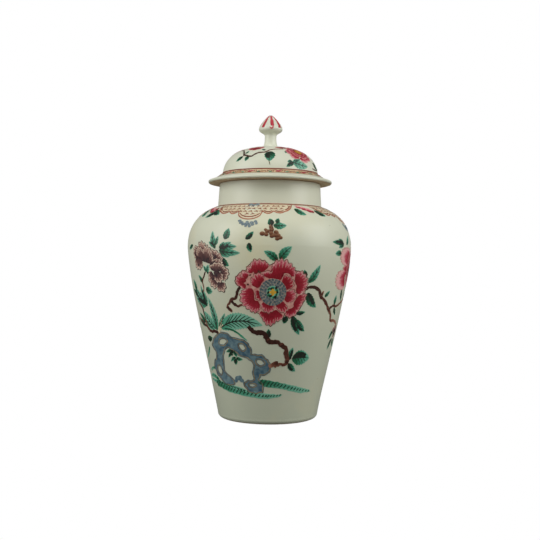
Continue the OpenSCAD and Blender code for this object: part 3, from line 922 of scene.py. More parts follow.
# Plum peony on the left. Two heads in thin brown-purple, drawn in strokes from the root of each
# petal, with inky hollows, on a stem that springs from behind the rock.
plum = shaded_enamel("plum_enamel", [(0.0, paint(54, 38, 42)), (0.35, paint(96, 64, 62)),
                                     (0.7, paint(126, 91, 82)), (1.0, paint(154, 119, 106))], grain=0.3,
                     streak=(10.0, 2.0), spread=0.5)
plum_line = thin_enamel("plum_outline", paint(196, 168, 148), paint(228, 210, 188), 500.0)
plum_petals = wet()
plum_rims = wet()
plum_deep = wet()
plum_ink = wet()
PLUM_PETALS = (
    # upper head: left, top, the two in the middle, the low left one and the right ones
    (((-58, 157), (-57.4, 160.5), (-55.4, 163.6)),
     ((-61.6, 156.6), (-62.4, 162), (-60.2, 166.8), (-56, 166.8)), 0.6),
    (((-54, 159), (-51, 158.4), (-48.4, 160)), ((-56.4, 163.4), (-55, 169), (-51.6, 170.6), (-47.6, 168.2),
                                                (-46.2, 165)), 0.35),
    (((-54.4, 154.8), (-51.4, 154.4), (-49.2, 156)),
     ((-58.6, 159.6), (-57.4, 164.6), (-53.4, 166), (-50.6, 163.6)), 0.45),
    (((-59.4, 157.6), (-55.4, 158), (-52, 155)),
     ((-61.4, 154.4), (-61.2, 150.4), (-58.8, 147.6), (-54.8, 147.2),
                                                  (-51.8, 150.4)), 0.55),
    (((-41.4, 157), (-39, 155), (-37.2, 151.6)),
     ((-42, 163.6), (-38.2, 162.6), (-34.4, 159.6), (-32.8, 155.2),
                                                  (-33.8, 151)), 0.7),
    (((-49.4, 153.6), (-46.6, 152.2), (-43.6, 151.4)),
     ((-50, 163.4), (-46.8, 166.8), (-43.2, 164.2), (-40.8, 159.4),
                                                        (-40.8, 154)), 0.35),
    (((-44.4, 149.4), (-41.4, 147.4), (-37.2, 147)),
     ((-40.6, 154.6), (-36.6, 155.2), (-33.6, 153), (-32.6, 149)), 0.7),
    # lower head: left, right, the cap over both, the middle one and the curl under it
    (((-43, 144), (-40.4, 139.8), (-38.2, 135.6)),
     ((-45.4, 143.4), (-46, 137.4), (-44.2, 132), (-40.8, 129.4),
                                                    (-38.4, 131.6)), 0.45),
    (((-34.6, 145.6), (-34.8, 142), (-34.6, 138.4)),
     ((-31.4, 148.6), (-29, 144.6), (-29.6, 139.6), (-32, 135.8)), 0.6),
    (((-42.4, 145.4), (-38.4, 143.8), (-34.8, 144.8)),
     ((-44.4, 148.4), (-38.6, 151.4), (-33, 150.2), (-30.8, 146.6)), 0.55),
    (((-40.2, 143), (-38.4, 143.8), (-36.6, 144.2)),
     ((-40.6, 137.4), (-37.6, 134.8), (-34, 136.8), (-33.2, 141.4)), 0.75),
    (((-38.4, 132.4), (-36.4, 134), (-33.6, 134)),
     ((-39.6, 130.6), (-37.6, 127.2), (-33.6, 126.8), (-31.8, 130.4),
                                                    (-32, 133.8)), 0.6))
for count, (root, rim, tone) in enumerate(PLUM_PETALS):
    degree = jar_skin.degree(150)
    centre = (-45, 150)
    curves = [[((right + 45) * degree, up - 150) for right, up in curve] for curve in (root, rim)]
    shape(plum_petals, plum_rims, jar_skin, centre, *curves, tone, 0.14 + 0.01 * count, 1.0, 1.04,
          (plum_deep, plum_rims), 0.16, plum_deep)
for points, width in ((((-51.6, 155.6), (-49, 154.2), (-46.2, 154.6), (-44, 156.6)), 3.0),
                      (((-43.6, 149.8), (-41.2, 151.4), (-38.4, 153.6)), 2.6),
                      (((-49.4, 158), (-48.6, 154)), 1.8),
                      (((-40.6, 143.6), (-39, 141.6), (-38, 139.4)), 2.6),
                      (((-34.4, 145.2), (-33, 143.2)), 2.2), (((-42.6, 138), (-41.2, 136.2)), 2.6),
                      (((-58.4, 150.4), (-56, 149.6)), 2.0), (((-38.8, 158.8), (-37.2, 156.6)), 2.2),
                      (((-61.8, 161.8), (-60.6, 158.8)), 2.0), (((-38.4, 131.6), (-36.4, 132.8)), 1.6),
                      (((-42.6, 148), (-41, 144.4)), 1.2)):
    stroke(plum_ink, jar_skin, points, width, 0.31, (0.7, 0.3), 0.5, 0.3)
fire(plum_petals, "plum_peony_petals", plum, "plum_enamel")
plum_dark = thin_enamel("plum_stroke", paint(50, 32, 36), paint(84, 56, 54), 500.0)
fire(plum_deep, "plum_peony_strokes", plum_dark, "plum_enamel")
fire(plum_rims, "plum_peony_outlines", plum_line, "plum_enamel")
plum_shadow = thin_enamel("plum_hollow", paint(40, 32, 38), paint(84, 62, 60), 260.0)
fire(plum_ink, "plum_peony_hollows", plum_shadow, "plum_enamel")

left_leaves = wet()
left_ink = wet()
left_wood = wet()
for base, tip, width, bend, tone, shade in (
        ((-48.8, 143.8), (-51.2, 149.6), 3.4, 0.3, 0.15, 0),
        ((-48.4, 143.8), (-45.6, 150.4), 4.6, 0.3, 0.15, 0),
        ((-48.2, 143.4), (-43.6, 142.0), 3.0, 0.3, 0.4, 0),
        ((-38.2, 165.2), (-41.4, 181.6), 5.8, -0.8, 0.35, 0),
        ((-38.6, 168.0), (-35.8, 176.8), 4.0, 0.3, 0.45, 0),
        ((-38.4, 167.0), (-44.0, 171.6), 4.0, 0.3, 0.55, 1),
        ((-34.8, 163.6), (-19.0, 161.2), 6.2, 0.8, 0.5, 0),
        ((-34.4, 164.6), (-21.4, 167.2), 6.0, -0.6, 0.4, 0),
        ((-34.0, 165.0), (-25.4, 171.2), 5.4, 0.4, 0.5, 1),
        ((-34.4, 164.0), (-27.0, 157.4), 5.0, 0.6, 0.45, 0),
        ((-34.6, 165.4), (-30.4, 171.4), 3.6, 0.2, 0.6, 1),
        ((-33.0, 156.6), (-27.6, 149.2), 5.4, 0.9, 0.95, 1),
        ((-51.6, 127.4), (-44.4, 125.2), 6.4, 0.3, 0.6, 0),
        ((-54.8, 133.4), (-59.4, 140.6), 4.0, 0.3, 0.6, 0),
        ((-30.4, 173.6), (-28.0, 183.8), 6.4, 0.3, 0.75, 0),
        ((-15.4, 173.6), (-10.4, 180.8), 4.4, 0.4, 0.8, 1),
        ((-13.2, 170.4), (-11.8, 161.8), 4.8, 0.4, 0.75, -1),
        ((-64.0, 169.0), (-72.5, 165.2), 3.6, 0.3, 0.6, 0), ((1.4, 186.0), (0.0, 192.8), 5.4, 0.2, 1.0, 1),
        ((4.6, 188.4), (6.4, 193.0), 3.8, 0.2, 0.8, 0), ((2.6, 186.2), (11.6, 186.4), 5.6, 0.3, 0.5, 0)):
    leaf(left_leaves, left_ink, jar_skin, base, tip, width, bend, tone, shade)
for points, width in ((((-49.8, 143.6), (-52, 139.6), (-54.8, 134.8), (-54.2, 129), (-55.4, 124.4)), 1.7),
                      (((-55.0, 134.4), (-57.2, 136.0)), 1.0),
                      (((1.4, 187.6), (2.0, 184.6), (1.2, 182.0)), 0.9)):
    stroke(left_wood, jar_skin, points, width, 0.2, (0.8, 0.6), 0.6, 0.3)
fire(left_leaves, "plum_peony_leaves", leaf_green, "green_enamel")
fire(left_ink, "plum_peony_leaf_ink", ink, "black_enamel")
fire(left_wood, "plum_peony_stems", bark, "brown_enamel")


# Small brown sprig under the border, a spray of small round blossoms hanging from two
# leaves, laid on wet in touches of russet.
russet = shaded_enamel("russet_enamel", [(0.0, paint(70, 38, 24)), (0.5, paint(104, 66, 44)),
                                         (1.0, paint(150, 112, 84))], streak=(4.0, 3.0), spread=0.5)
sprig = wet()
for spot, wide, tall, turn in (((1.4, 182.6), 4.4, 5.4, 0), ((-1.4, 180.8), 4.8, 3.8, 25),
                               ((-4.6, 178.8), 5.0, 4.2, 0), ((1.2, 179.0), 4.4, 3.6, 0),
                               ((4.4, 180.0), 4.8, 4.2, -30), ((5.4, 177.2), 5.8, 4.4, -20),
                               ((7.2, 175.2), 4.0, 3.2, 0), ((-2.6, 182.4), 3.0, 2.6, 0),
                               ((1.6, 176.8), 4.6, 4.0, 10), ((-2.0, 178.0), 4.2, 3.6, 0),
                               ((3.8, 177.4), 4.4, 4.2, 0), ((0.6, 185.0), 2.6, 4.4, 0),
                               ((5.2, 174.4), 4.8, 3.6, 15)):
    dab(sprig, jar_skin, spot, wide, tall, turn, 0.18, 0.55)
fire(sprig, "brown_sprig", russet, "brown_enamel")


# Garden rock. A pierced block of stone laid in a thin blue-grey wash inside a tan outline, with the
# glaze left bare in its holes.
ROCK_EDGE = ((-54.6, 77), (-50, 82), (-45.6, 85.4), (-40, 87.4), (-34, 86.4), (-31.4, 82.8), (-27, 81.2),
             (-21, 80.6), (-16.8, 78), (-15.2, 73.4), (-13.6, 68.4), (-9, 67.4), (-5, 67.2), (-2.4, 63.8),
             (0.4, 60.4), (1.6, 55.6), (-0.6, 50.4), (-4, 48.4), (-6.8, 48.6), (-8.2, 45), (-6.4, 41),
             (-4, 37), (-5.6, 32.4), (-11, 30.8), (-17, 31.4), (-20.6, 34.6), (-22.4, 39.4), (-20, 42),
             (-16, 42.6), (-12.6, 44.6), (-13.6, 50.4), (-12.4, 56), (-13.6, 60.8), (-18.4, 64.4),
             (-25, 66.6), (-30, 71.4), (-36, 73.2), (-41.2, 68.4), (-43.4, 60.6), (-44.6, 53.6),
             (-41.4, 47.4), (-35.4, 43.4), (-33.4, 39.8), (-38.6, 37), (-46, 38), (-51, 41.4), (-56, 46),
             (-58.4, 52.6), (-55.6, 58.6), (-51.6, 61.8), (-51.4, 68.6), (-55.4, 72.2))
ROCK_HOLES = (((-46, 76.2), (-43.6, 80.4), (-39, 81.6), (-35.4, 79.6), (-37.4, 76.2), (-42.4, 74.4)),
              ((-25.8, 75.6), (-23.8, 77.6), (-20.4, 77), (-18.6, 73.6), (-20, 70.8), (-23.6, 71.2)),
              ((-11, 61.2), (-8.6, 63.6), (-4.6, 62.6), (-2.6, 59.4), (-5, 57.2), (-9, 57.6)),
              ((-54.6, 50), (-52.4, 54.2), (-48.6, 54.4), (-46.6, 50), (-48.4, 45.8), (-52, 46)),
              ((-18.6, 38), (-17.4, 40), (-13.6, 40), (-10.4, 38.6), (-12.6, 36.8), (-16.4, 36.4)))


def ragged(loop, depth):
    """The closed loop drawn by a quick, shaking hand."""
    dice = random.Random(len(loop))
    closed = tuple(loop) + (loop[0],)
    turns = [spline(closed, step / (2 * len(loop))) for step in range(2 * len(loop))]
    return tuple((right + dice.uniform(-depth, depth), up + dice.uniform(-depth, depth))
                 for right, up in turns)


rock_loops = [ragged(loop, 0.75 if count == 0 else 0.45)
              for count, loop in enumerate((ROCK_EDGE,) + ROCK_HOLES)]
rock_wash = thin_enamel("rock_wash", paint(58, 86, 102), paint(112, 136, 138), 170.0, 0.4)
fire(fill(jar_skin, rock_loops[0], rock_loops[1:], 0.12), "rock_wash", rock_wash, "blue_enamel")
tan = thin_enamel("tan_outline", paint(84, 84, 66), paint(158, 138, 98), 260.0)
rock_shade = wet()
rock_outline = wet()
for loop in rock_loops:
    stroke(rock_shade, jar_skin, list(loop) + [loop[0]], 2.2, 0.15, shake=0.4, cell=1.2)
    stroke(rock_outline, jar_skin, list(loop) + [loop[0]], 0.85, 0.2, shake=0.6, cell=1.2)
rock_dark = thin_enamel("rock_edge_wash", paint(56, 80, 98), paint(100, 124, 132), 200.0, 0.4)
fire(rock_shade, "rock_edge_wash", rock_dark, "blue_enamel")
fire(rock_outline, "rock_outline", tan, "brown_enamel")
pebbles = wet()
for spot, wide, tall, turn in (((-29.4, 44.2), 6.0, 4.4, 20), ((-25.4, 42.6), 5.4, 4.2, -30),
                               ((-26.8, 45.4), 4.4, 3.4, 0), ((-31.6, 41.4), 4.2, 3.2, 0)):
    dab(pebbles, jar_skin, spot, wide, tall, turn, 0.14, 0.7)
fire(pebbles, "rock_pebbles", rock_wash, "blue_enamel")
rock_leaves = wet()
rock_ink = wet()
for base, tip, width, bend, tone, shade in (
        ((-31.0, 70.8), (-38.4, 68.6), 2.8, 0.4, 0.8, 0), ((-30.4, 70.4), (-36.6, 63.4), 3.0, 0.4, 0.9, 1),
        ((-29.6, 71.0), (-27.6, 64.6), 3.6, 0.3, 0.8, 0), ((-29.0, 64.6), (-34.4, 60.0), 3.0, 0.2, 0.5, 0),
        ((-28.6, 63.6), (-22.2, 62.6), 3.4, 0.3, 0.6, 0), ((-29.0, 63.0), (-29.6, 57.0), 3.6, 0.2, 1.0, 1),
        ((-31.4, 66.6), (-34.4, 66.2), 2.0, 0.2, 0.9, 0)):
    leaf(rock_leaves, rock_ink, jar_skin, base, tip, width, bend, tone, shade, 2)
fire(rock_leaves, "rock_leaf_sprig", leaf_green, "green_enamel")
fire(rock_ink, "rock_leaf_sprig_ink", ink, "black_enamel")


# Foliage above the rock, and the plant on its left: long leaves with inked ribs, thin stems left in
# the pale ground colour, and short lengths of brown wood.
broad_leaves = wet()
broad_ink = wet()
for base, tip, width, bend, tone, shade, veins in (
        ((-40.6, 91.6), (-4.4, 95.2), 14.0, -5.4, -0.05, 0, 7),
        ((-42.4, 92.6), (-34.6, 105.6), 4.0, 0.6, 0.3, 0, 3),
        ((-45.2, 88.6), (-50.4, 119.6), 7.4, 1.6, 0.1, 0, 5),
        ((-46.4, 90.4), (-59.4, 106.0), 9.6, -1.4, -0.1, 0, 4),
        ((-55.0, 112.0), (-61.6, 124.6), 5.4, 0.6, 0.0, 0, 3),
        ((-54.6, 113.0), (-58.4, 131.4), 4.4, -0.6, 0.1, 1, 3),
        ((-54.0, 111.0), (-52.2, 121.4), 3.8, 0.3, 0.0, 0, 2),
        ((-57.6, 116.0), (-67.6, 129.0), 4.6, -0.8, 0.0, 0, 3),
        ((-58.2, 97.4), (-47.2, 88.4), 4.4, 1.2, 0.3, 0, 3),
        ((-54.0, 112.4), (-71.0, 119.4), 9.4, -1.2, 0.1, 1, 4),
        ((-54.6, 111.0), (-56.4, 127.4), 6.0, 1.0, 0.45, 0, 3),
        ((-66.4, 124.0), (-71.4, 136.4), 6.0, 0.6, 0.65, 0, 3),
        ((-64.0, 118.0), (-76.0, 127.0), 5.0, 0.6, 0.8, 1, 3),
        ((-61.6, 79.6), (-53.6, 81.0), 5.2, 0.4, 1.3, 1, 2),
        ((-61.0, 92.0), (-73.0, 97.6), 5.0, 0.6, 0.9, 1, 3),
        ((-60.0, 95.2), (-70.0, 104.0), 4.4, 0.6, 0.7, 0, 3)):
    leaf(broad_leaves, broad_ink, jar_skin, base, tip, width, bend, tone, shade, veins)
for points, width in ((((-36.6, 90.8), (-31, 90.6), (-25.4, 87.8), (-20.6, 83.6), (-17.2, 80.8)), 1.9),
                      (((-41.6, 88.2), (-40, 92.6), (-37, 97.4), (-33.4, 103)), 1.1)):
    stroke(broad_leaves, jar_skin, points, width, 0.17, (0.5, 0.3), 0.7, 0.3)
fire(broad_leaves, "rock_foliage", leaf_green, "green_enamel")
fire(broad_ink, "rock_foliage_ink", ink, "black_enamel")
rock_wood = wet()
for points, width, tone in ((((-44, 86.8), (-48.4, 87.6), (-52.6, 87.2), (-57, 89.6), (-59, 93.6),
                              (-59.4, 99)), 2.8, 0.7),
                            (((-57.4, 90.0), (-62, 93.2), (-67, 96.6), (-73, 99)), 2.0, 0.7),
                            (((-59.2, 97), (-60.2, 103.4), (-61.6, 109.6), (-66, 114)), 2.2, 0.7)):
    stroke(rock_wood, jar_skin, points, width, 0.22, (0.8, 0.5), tone, 0.5, cell=1.2)
fire(rock_wood, "rock_branches", bark, "brown_enamel")
pale_stems = wet()
for points in (((-44.6, 86.6), (-42.4, 91), (-39.6, 96.4), (-37, 101)),
               ((-43.2, 86.6), (-41.2, 90), (-38, 95))):
    stroke(pale_stems, jar_skin, points, 1.3, 0.2, (0.9, 0.5))
fire(pale_stems, "rock_pale_stems", border_cream, "yellow_enamel")


# Grass. Long, flat washes of green under the rock, combed with short ink strokes.
grass = wet()
grass_ink = wet()


def tuft(points, width, tone, comb=3.3, lean=0.8):
    """A blade of grass along the points, combed with ink every so many millimetres."""
    width *= 0.86
    stroke(grass, jar_skin, points, width, 0.15, (0.5, 0.1), tone - 0.35, 0.3)
    degree = jar_skin.degree(points[0][1])
    length = sum(math.hypot((b[0] - a[0]) * degree, b[1] - a[1]) for a, b in zip(points, points[1:]))
    count = int(length / comb)
    for step in range(1, count):
        right, up = spline(points, step / count)
        half = width * 0.4 * (1 - step / count * 0.6)
        path = [(right + lean * half / degree, up + half), (right - lean * half / degree, up - half * 0.9)]
        stroke(grass_ink, jar_skin, path, 1.15, 0.21, (0.9, 0.3))


for points, width, tone in (
        (((-9, 42.6), (2, 40.4), (12, 38.2), (24, 35.2), (35, 32.8), (47, 31)), 6.6, 0.6),
        (((-8, 41.4), (-2, 38.4), (8, 37.2), (18, 35.4)), 3.0, 0.7),
        (((-62, 37.4), (-50, 37.2), (-38, 35.4), (-27, 33.6), (-18, 31.4)), 4.6, 0.45),
        (((-60, 36.0), (-46, 33.8), (-34, 31.6), (-20, 29.8), (-6, 28.4), (4, 28.2), (14, 29.4)), 6.4,
         0.55),
        (((-56, 38.4), (-44, 36.4), (-32, 34.6), (-22, 32.4)), 3.4, 0.5),
        (((-32, 34), (-22, 30.6), (-10, 28.2), (2, 27.4)), 2.8, 0.8),
        (((-55, 40.4), (-64, 43.6), (-73, 42.4)), 4.4, 0.6),
        (((-53, 39.4), (-62, 38.4), (-72, 39.8)), 3.4, 0.5),
        (((-58, 51.6), (-64, 50.8), (-70, 47.6)), 3.0, 0.4),
        (((-61.6, 71.4), (-66, 65.8), (-72, 60.4)), 2.8, 0.6)):
    tuft(points, width, tone)
fire(grass, "front_grass", leaf_green, "green_enamel")
dark_green = thin_enamel("dark_green_stroke", paint(16, 44, 30), paint(34, 84, 60), 500.0)
fire(grass_ink, "front_grass_ink", dark_green, "green_enamel")


# Rose peony on the right, seen from its side, with leaves above and a plum bud on the branch below,
# in the same enamels as the one on the front.
def rosette(enamel, lines, skin, centre, size, seed, tone=0.6, turn=0.0):
    """A full peony of three rounds of petals, size mm from its middle to its edge."""
    dice = random.Random(seed)
    lift = 0.13
    for petals, near, far, wide in ((8, 0.56, 1.0, 0.62), (7, 0.36, 0.74, 0.56), (6, 0.2, 0.5, 0.44)):
        for count in range(petals):
            toward = turn + 360 * (count + dice.uniform(-0.18, 0.18)) / petals
            petal(enamel, lines, skin, centre, toward, near * size, far * size * dice.uniform(0.9, 1.06),
                  wide * size * dice.uniform(0.85, 1.2), tone + dice.uniform(-0.3, 0.3), lift)
            lift += 0.009
        turn += 180 / petals
        tone += 0.12
    return lift


right_rose = wet()
right_rims = wet()
right_parts = [wet(), wet(), wet(), wet()]
for root, rim, tone in (
        (((-14, 4), (-17, 10), (-12, 16)),
         ((-22, 2), (-33, 6), (-36.4, 12), (-33, 18), (-24, 20), (-12, 19)), -0.15),
        (((-14, -2), (-19, -9), (-14, -16)), ((-25, -1.4), (-36, -3), (-40, -9), (-37, -16), (-29, -19.6),
                                              (-18, -20)), -0.1),
        (((-16, 3), (-17, 0), (-16, -3)), ((-25, 4), (-28, 0.6), (-26, -2.4)), 0.6)):
    shape(right_rose, right_rims, jar_skin, (84.0, 148.0), root, rim, tone, 0.12)
rosette(right_rose, right_rims, jar_skin, (84.0, 148.0), 21.0, 5, 0.3)
heart(right_parts, jar_skin, (84.0, 148.0), 0.62, 4, 0.5)
fire(right_rose, "right_peony_petals", rose, "rose_enamel")
fire(right_rims, "right_peony_outlines", rim_line, "rose_enamel")
right_leaves = wet()
right_ink = wet()
for base, tip, width, bend, tone, shade in (
        ((61.0, 171.4), (46.6, 172.8), 4.6, 0.4, 0.9, 1), ((60.4, 172.2), (53.4, 175.8), 3.0, 0.3, 0.5, 0),
        ((60.6, 170.0), (53.6, 167.8), 3.2, 0.3, 0.5, 0), ((57.8, 162.6), (50.0, 162.0), 4.8, 0.3, 0.55, 0),
        ((66.0, 171.0), (71.6, 180.0), 5.0, 0.4, 0.2, 0), ((68.0, 128.0), (71.0, 116.4), 4.6, 0.4, 0.8, 1),
        ((66.0, 88.0), (60.6, 80.0), 3.6, 0.3, 0.7, 0), ((68.0, 80.6), (62.0, 70.0), 3.8, 0.4, 0.8, 1),
        ((70.0, 80.0), (76.0, 72.0), 4.0, 0.4, 0.6, 0), ((80.0, 120.0), (88.0, 128.0), 5.0, 0.5, 0.5, 0),
        ((84.0, 172.0), (93.0, 182.0), 6.0, 0.5, 0.45, 0),
        ((92.0, 166.0), (103.0, 171.0), 6.4, 0.5, 0.5, 0),
        ((93.0, 137.0), (104.0, 128.0), 6.0, 0.5, 0.6, 1)):
    leaf(right_leaves, right_ink, jar_skin, base, tip, width, bend, tone, shade)
fire(right_leaves, "right_leaves", leaf_green, "green_enamel")
fire(right_ink, "right_leaf_ink", ink, "black_enamel")
for batch, (name, finish, slot) in zip(right_parts, (
        ("right_peony_ruff", spray_grey, "blue_enamel"),
        ("right_peony_carpels", leaf_green, "green_enamel"), ("right_peony_ink", ink, "black_enamel"),
        ("right_peony_heart", yellow_enamel, "yellow_enamel"))):
    fire(batch, name, finish, slot)
right_plum = wet()
right_plum_rims = wet()
for toward, near, far, width in ((0, 1, 8, 7.0), (-50, 1, 7.5, 6.5), (50, 1, 7.5, 6.5), (180, 0, 5, 6.0)):
    petal(right_plum, right_plum_rims, jar_skin, (70.5, 86.0), toward, near, far, width, 0.8, 0.16)
fire(right_plum, "right_plum_bud", plum, "plum_enamel")
fire(right_plum_rims, "right_plum_bud_outline", plum_line, "plum_enamel")


# Back of the jar. The same garden goes on round: a second rose peony, a plum one and a bud on one
# long crooked branch that grows from a mound of grass, with single leaves and sprigs between.
back_wood = wet()
for points, width, tone in (
        (((196, 34), (190, 44), (194, 54), (186, 64), (178, 70), (181, 80), (174, 90), (166, 96),
          (162, 106)), 4.2, 0.8),
        (((186, 64), (196, 72), (206, 78), (212, 88), (222, 94), (226, 106), (234, 114)), 2.8, 0.8),
        (((174, 90), (160, 84), (150, 86), (140, 80), (130, 84), (122, 78)), 2.4, 0.6),
        (((212, 88), (206, 100), (208, 112), (202, 122), (206, 132)), 2.0, 0.7),
        (((150, 86), (146, 96), (138, 102), (134, 112)), 1.8, 0.7),
        (((88, 119), (94, 117), (100, 112), (106, 111), (112, 106)), 1.7, 0.5)):
    stroke(back_wood, jar_skin, points, width, 0.22, (0.9, 0.4), tone, 0.5, cell=1.2)
for centre, wide in (((186, 64), 5.0), ((178, 70), 4.4), ((174, 90), 4.2), ((212, 88), 3.6),
                     ((150, 86), 3.2)):
    dab(back_wood, jar_skin, centre, wide, wide * 0.8, 30, 0.24, 0.9)
fire(back_wood, "back_branches", bark, "brown_enamel")
back_rose = wet()
back_rims = wet()
back_parts = [wet(), wet(), wet(), wet()]
for centre, size, seed, tone in (((162, 132), 27.0, 8, 0.5), ((122, 70), 9.0, 9, 0.75)):
    rosette(back_rose, back_rims, jar_skin, centre, size, seed, tone)
    heart(back_parts, jar_skin, centre, size / 34, seed, 0.4)
fire(back_rose, "back_peony_petals", rose, "rose_enamel")
fire(back_rims, "back_peony_outlines", rim_line, "rose_enamel")
for batch, (name, finish, slot) in zip(back_parts, (
        ("back_peony_ruff", spray_grey, "blue_enamel"), ("back_peony_carpels", leaf_green, "green_enamel"),
        ("back_peony_ink", ink, "black_enamel"), ("back_peony_heart", yellow_enamel, "yellow_enamel"))):
    fire(batch, name, finish, slot)
back_plum = wet()
back_plum_rims = wet()
rosette(back_plum, back_plum_rims, jar_skin, (236, 132), 20.0, 12, 0.45)
rosette(back_plum, back_plum_rims, jar_skin, (206, 142), 9.0, 13, 0.6)
fire(back_plum, "back_plum_petals", plum, "plum_enamel")
fire(back_plum_rims, "back_plum_outlines", plum_line, "plum_enamel")
back_leaves = wet()
back_ink = wet()
dice = random.Random(21)
for base, tip, width in (
        ((142, 146), (132, 154), 7), ((146, 152), (140, 164), 6), ((184, 132), (197, 128), 7),
        ((182, 142), (194, 150), 7), ((160, 160), (154, 172), 6.5), ((166, 160), (172, 173), 6.5),
        ((140, 124), (130, 118), 6), ((176, 108), (186, 102), 6), ((150, 106), (142, 98), 5),
        ((222, 94), (232, 88), 6), ((226, 106), (216, 112), 5), ((246, 116), (256, 108), 6.5),
        ((248, 140), (260, 148), 6.5), ((236, 152), (232, 165), 6), ((242, 150), (252, 160), 6),
        ((202, 122), (194, 118), 4.6), ((206, 152), (204, 162), 4.6), ((210, 150), (218, 156), 4.6),
        ((181, 80), (190, 84), 5), ((178, 70), (167, 66), 6), ((194, 54), (206, 56), 8),
        ((190, 44), (178, 46), 7), ((160, 84), (160, 74), 5), ((140, 80), (142, 70), 5),
        ((130, 84), (134, 93), 5), ((117, 66), (108, 60), 5), ((128, 64), (132, 56), 5),
        ((134, 112), (126, 116), 4.6), ((112, 106), (120, 110), 4.6), ((106, 111), (108, 120), 4.4),
        ((212, 178), (206, 170), 4.6), ((150, 186), (158, 190), 4.4), ((244, 184), (236, 178), 4.6),
        ((262, 128), (272, 134), 6.0), ((266, 96), (274, 88), 5.4), ((112, 150), (120, 158), 4.6)):
    leaf(back_leaves, back_ink, jar_skin, base, tip, width, dice.uniform(-0.9, 0.9), dice.uniform(0.3, 0.9),
         dice.choice((-1, 0, 0, 1)), 4 if width > 6 else 3)
fire(back_leaves, "back_leaves", leaf_green, "green_enamel")
fire(back_ink, "back_leaf_ink", ink, "black_enamel")
back_sprig = wet()
for centre in ((178, 186), (228, 190), (98, 190), (268, 158)):
    for right, up, wide in ((0, 0, 3.4), (-2.6, -1.6, 3.2), (2.6, -1.8, 3.2), (0.2, -3.6, 3.0),
                            (1.8, 2.0, 2.4)):
        dab(back_sprig, jar_skin, (centre[0] + right, centre[1] + up), wide, wide * 0.8, right * 12, 0.18,
            0.5)
fire(back_sprig, "back_sprigs", russet, "brown_enamel")
grass = wet()
grass_ink = wet()
for points, width, tone in (
        (((172, 36), (184, 33), (198, 32), (214, 34), (228, 33)), 4.6, 0.5),
        (((186, 32), (200, 29), (214, 28.6), (230, 30)), 4.0, 0.6),
        (((206, 38), (216, 41), (228, 41), (238, 38)), 3.6, 0.6),
        (((188, 38), (178, 42), (168, 42), (158, 38)), 3.4, 0.5),
        (((94, 38), (106, 35), (120, 34), (134, 36)), 3.6, 0.6)):
    tuft(points, width, tone)
fire(grass, "back_grass", leaf_green, "green_enamel")
fire(grass_ink, "back_grass_ink", ink, "black_enamel")


# Painting on the lid. An iron-red line round the dome's foot, a ring of small scrolls on the brim,
# and the same peony branch over the dome. Heights run along the dome from its foot.
lid_marks = [0.0]
for (low_r, low_z), (high_r, high_z) in zip(lid_outside, lid_outside[1:]):
    lid_marks.append(lid_marks[-1] + math.hypot(high_r - low_r, high_z - low_z) / MM)
foot_index = min(range(len(lid_outside)), key=lambda index: abs(lid_outside[index][1] - DOME_FOOT))
lid_skin = Skin(lid_outside, [mark - lid_marks[foot_index] for mark in lid_marks])
lid_lines = wet()
for up, width in ((0.3, 1.2), (-7.4, 0.5)):
    stroke(lid_lines, lid_skin, [(degrees, up) for degrees in range(-180, 181, 6)], width, 0.15, (1, 1),
           cell=3)
brim_ground = wet()
stroke(brim_ground, lid_skin, [(degrees, -3.6) for degrees in range(-180, 181, 6)], 6.6, 0.07, (1, 1),
       cell=3)
buff = thin_enamel("brim_buff", paint(178, 146, 108), paint(206, 188, 150), 150.0, 0.3)
fire(brim_ground, "brim_ground", buff, "iron_red_enamel", "lid")
brim_rose = wet()
brim_green = wet()
brim_red = wet()
dice = random.Random(31)
for step in range(60):
    at = -180 + 6 * step
    sway = 1.4 * math.sin(math.radians(at * 9))
    path = [(at - 2.4, -4.2 + sway), (at, -2.4 + sway), (at + 2.0, -4.0 + sway), (at + 0.4, -5.4 + sway)]
    stroke(brim_red, lid_skin, path, 0.75, 0.14, (0.8, 0.4), cell=1.2)
    stroke(brim_red, lid_skin, [(at + 3, -1.8), (at + 3.4, -4.0), (at + 3, -6.2)], 0.6, 0.14, (0.9, 0.4))
    if step % 5 == 1:
        dab(brim_rose, lid_skin, (at + 2, -4.4), 5.2, 3.0, 0, 0.16, dice.uniform(0.4, 0.9))
        dab(brim_rose, lid_skin, (at + 4.8, -3.6), 3.4, 2.4, 0, 0.17, dice.uniform(0.1, 0.5))
    if step % 5 in (0, 3):
        dab(brim_green, lid_skin, (at, -5.2), 4.0, 2.0, dice.uniform(-30, 30), 0.15, 0.6)
fire(lid_lines, "lid_red_lines", iron_red_dark, "iron_red_enamel", "lid")
fire(brim_red, "brim_scrolls", iron_red_dark, "iron_red_enamel", "lid")
fire(brim_rose, "brim_flowers", rose, "rose_enamel", "lid")
fire(brim_green, "brim_leaves", leaf_green, "green_enamel", "lid")

lid_wood = wet()
for points, width in (
        (((-56, 26.4), (-48, 25.2), (-43.6, 22.8), (-40, 19.6), (-36.6, 16.4), (-31, 14.8), (-25, 13.8),
          (-21, 16.0), (-16, 18.8), (-9, 19.2), (-5, 20.6), (-1, 23.4), (6, 25.4), (14, 26.4), (24, 27.6)),
         1.8),
        (((-36.2, 16.4), (-38.0, 14.0)), 1.1), (((60, 3.6), (68, 2.8), (78, 4.0), (92, 8), (104, 14)), 1.0),
        (((160, 8), (150, 13), (140, 12), (130, 17), (122, 24), (108, 26)), 1.8),
        (((150, 13), (152, 20), (160, 26), (172, 28)), 1.3),
        (((220, 10), (232, 14), (244, 13), (256, 18), (268, 26)), 1.6)):
    stroke(lid_wood, lid_skin, points, width, 0.2, (0.7, 0.4), 0.75, 0.5, cell=1.1)
fire(lid_wood, "lid_branches", bark, "brown_enamel", "lid")
lid_leaves = wet()
lid_ink = wet()
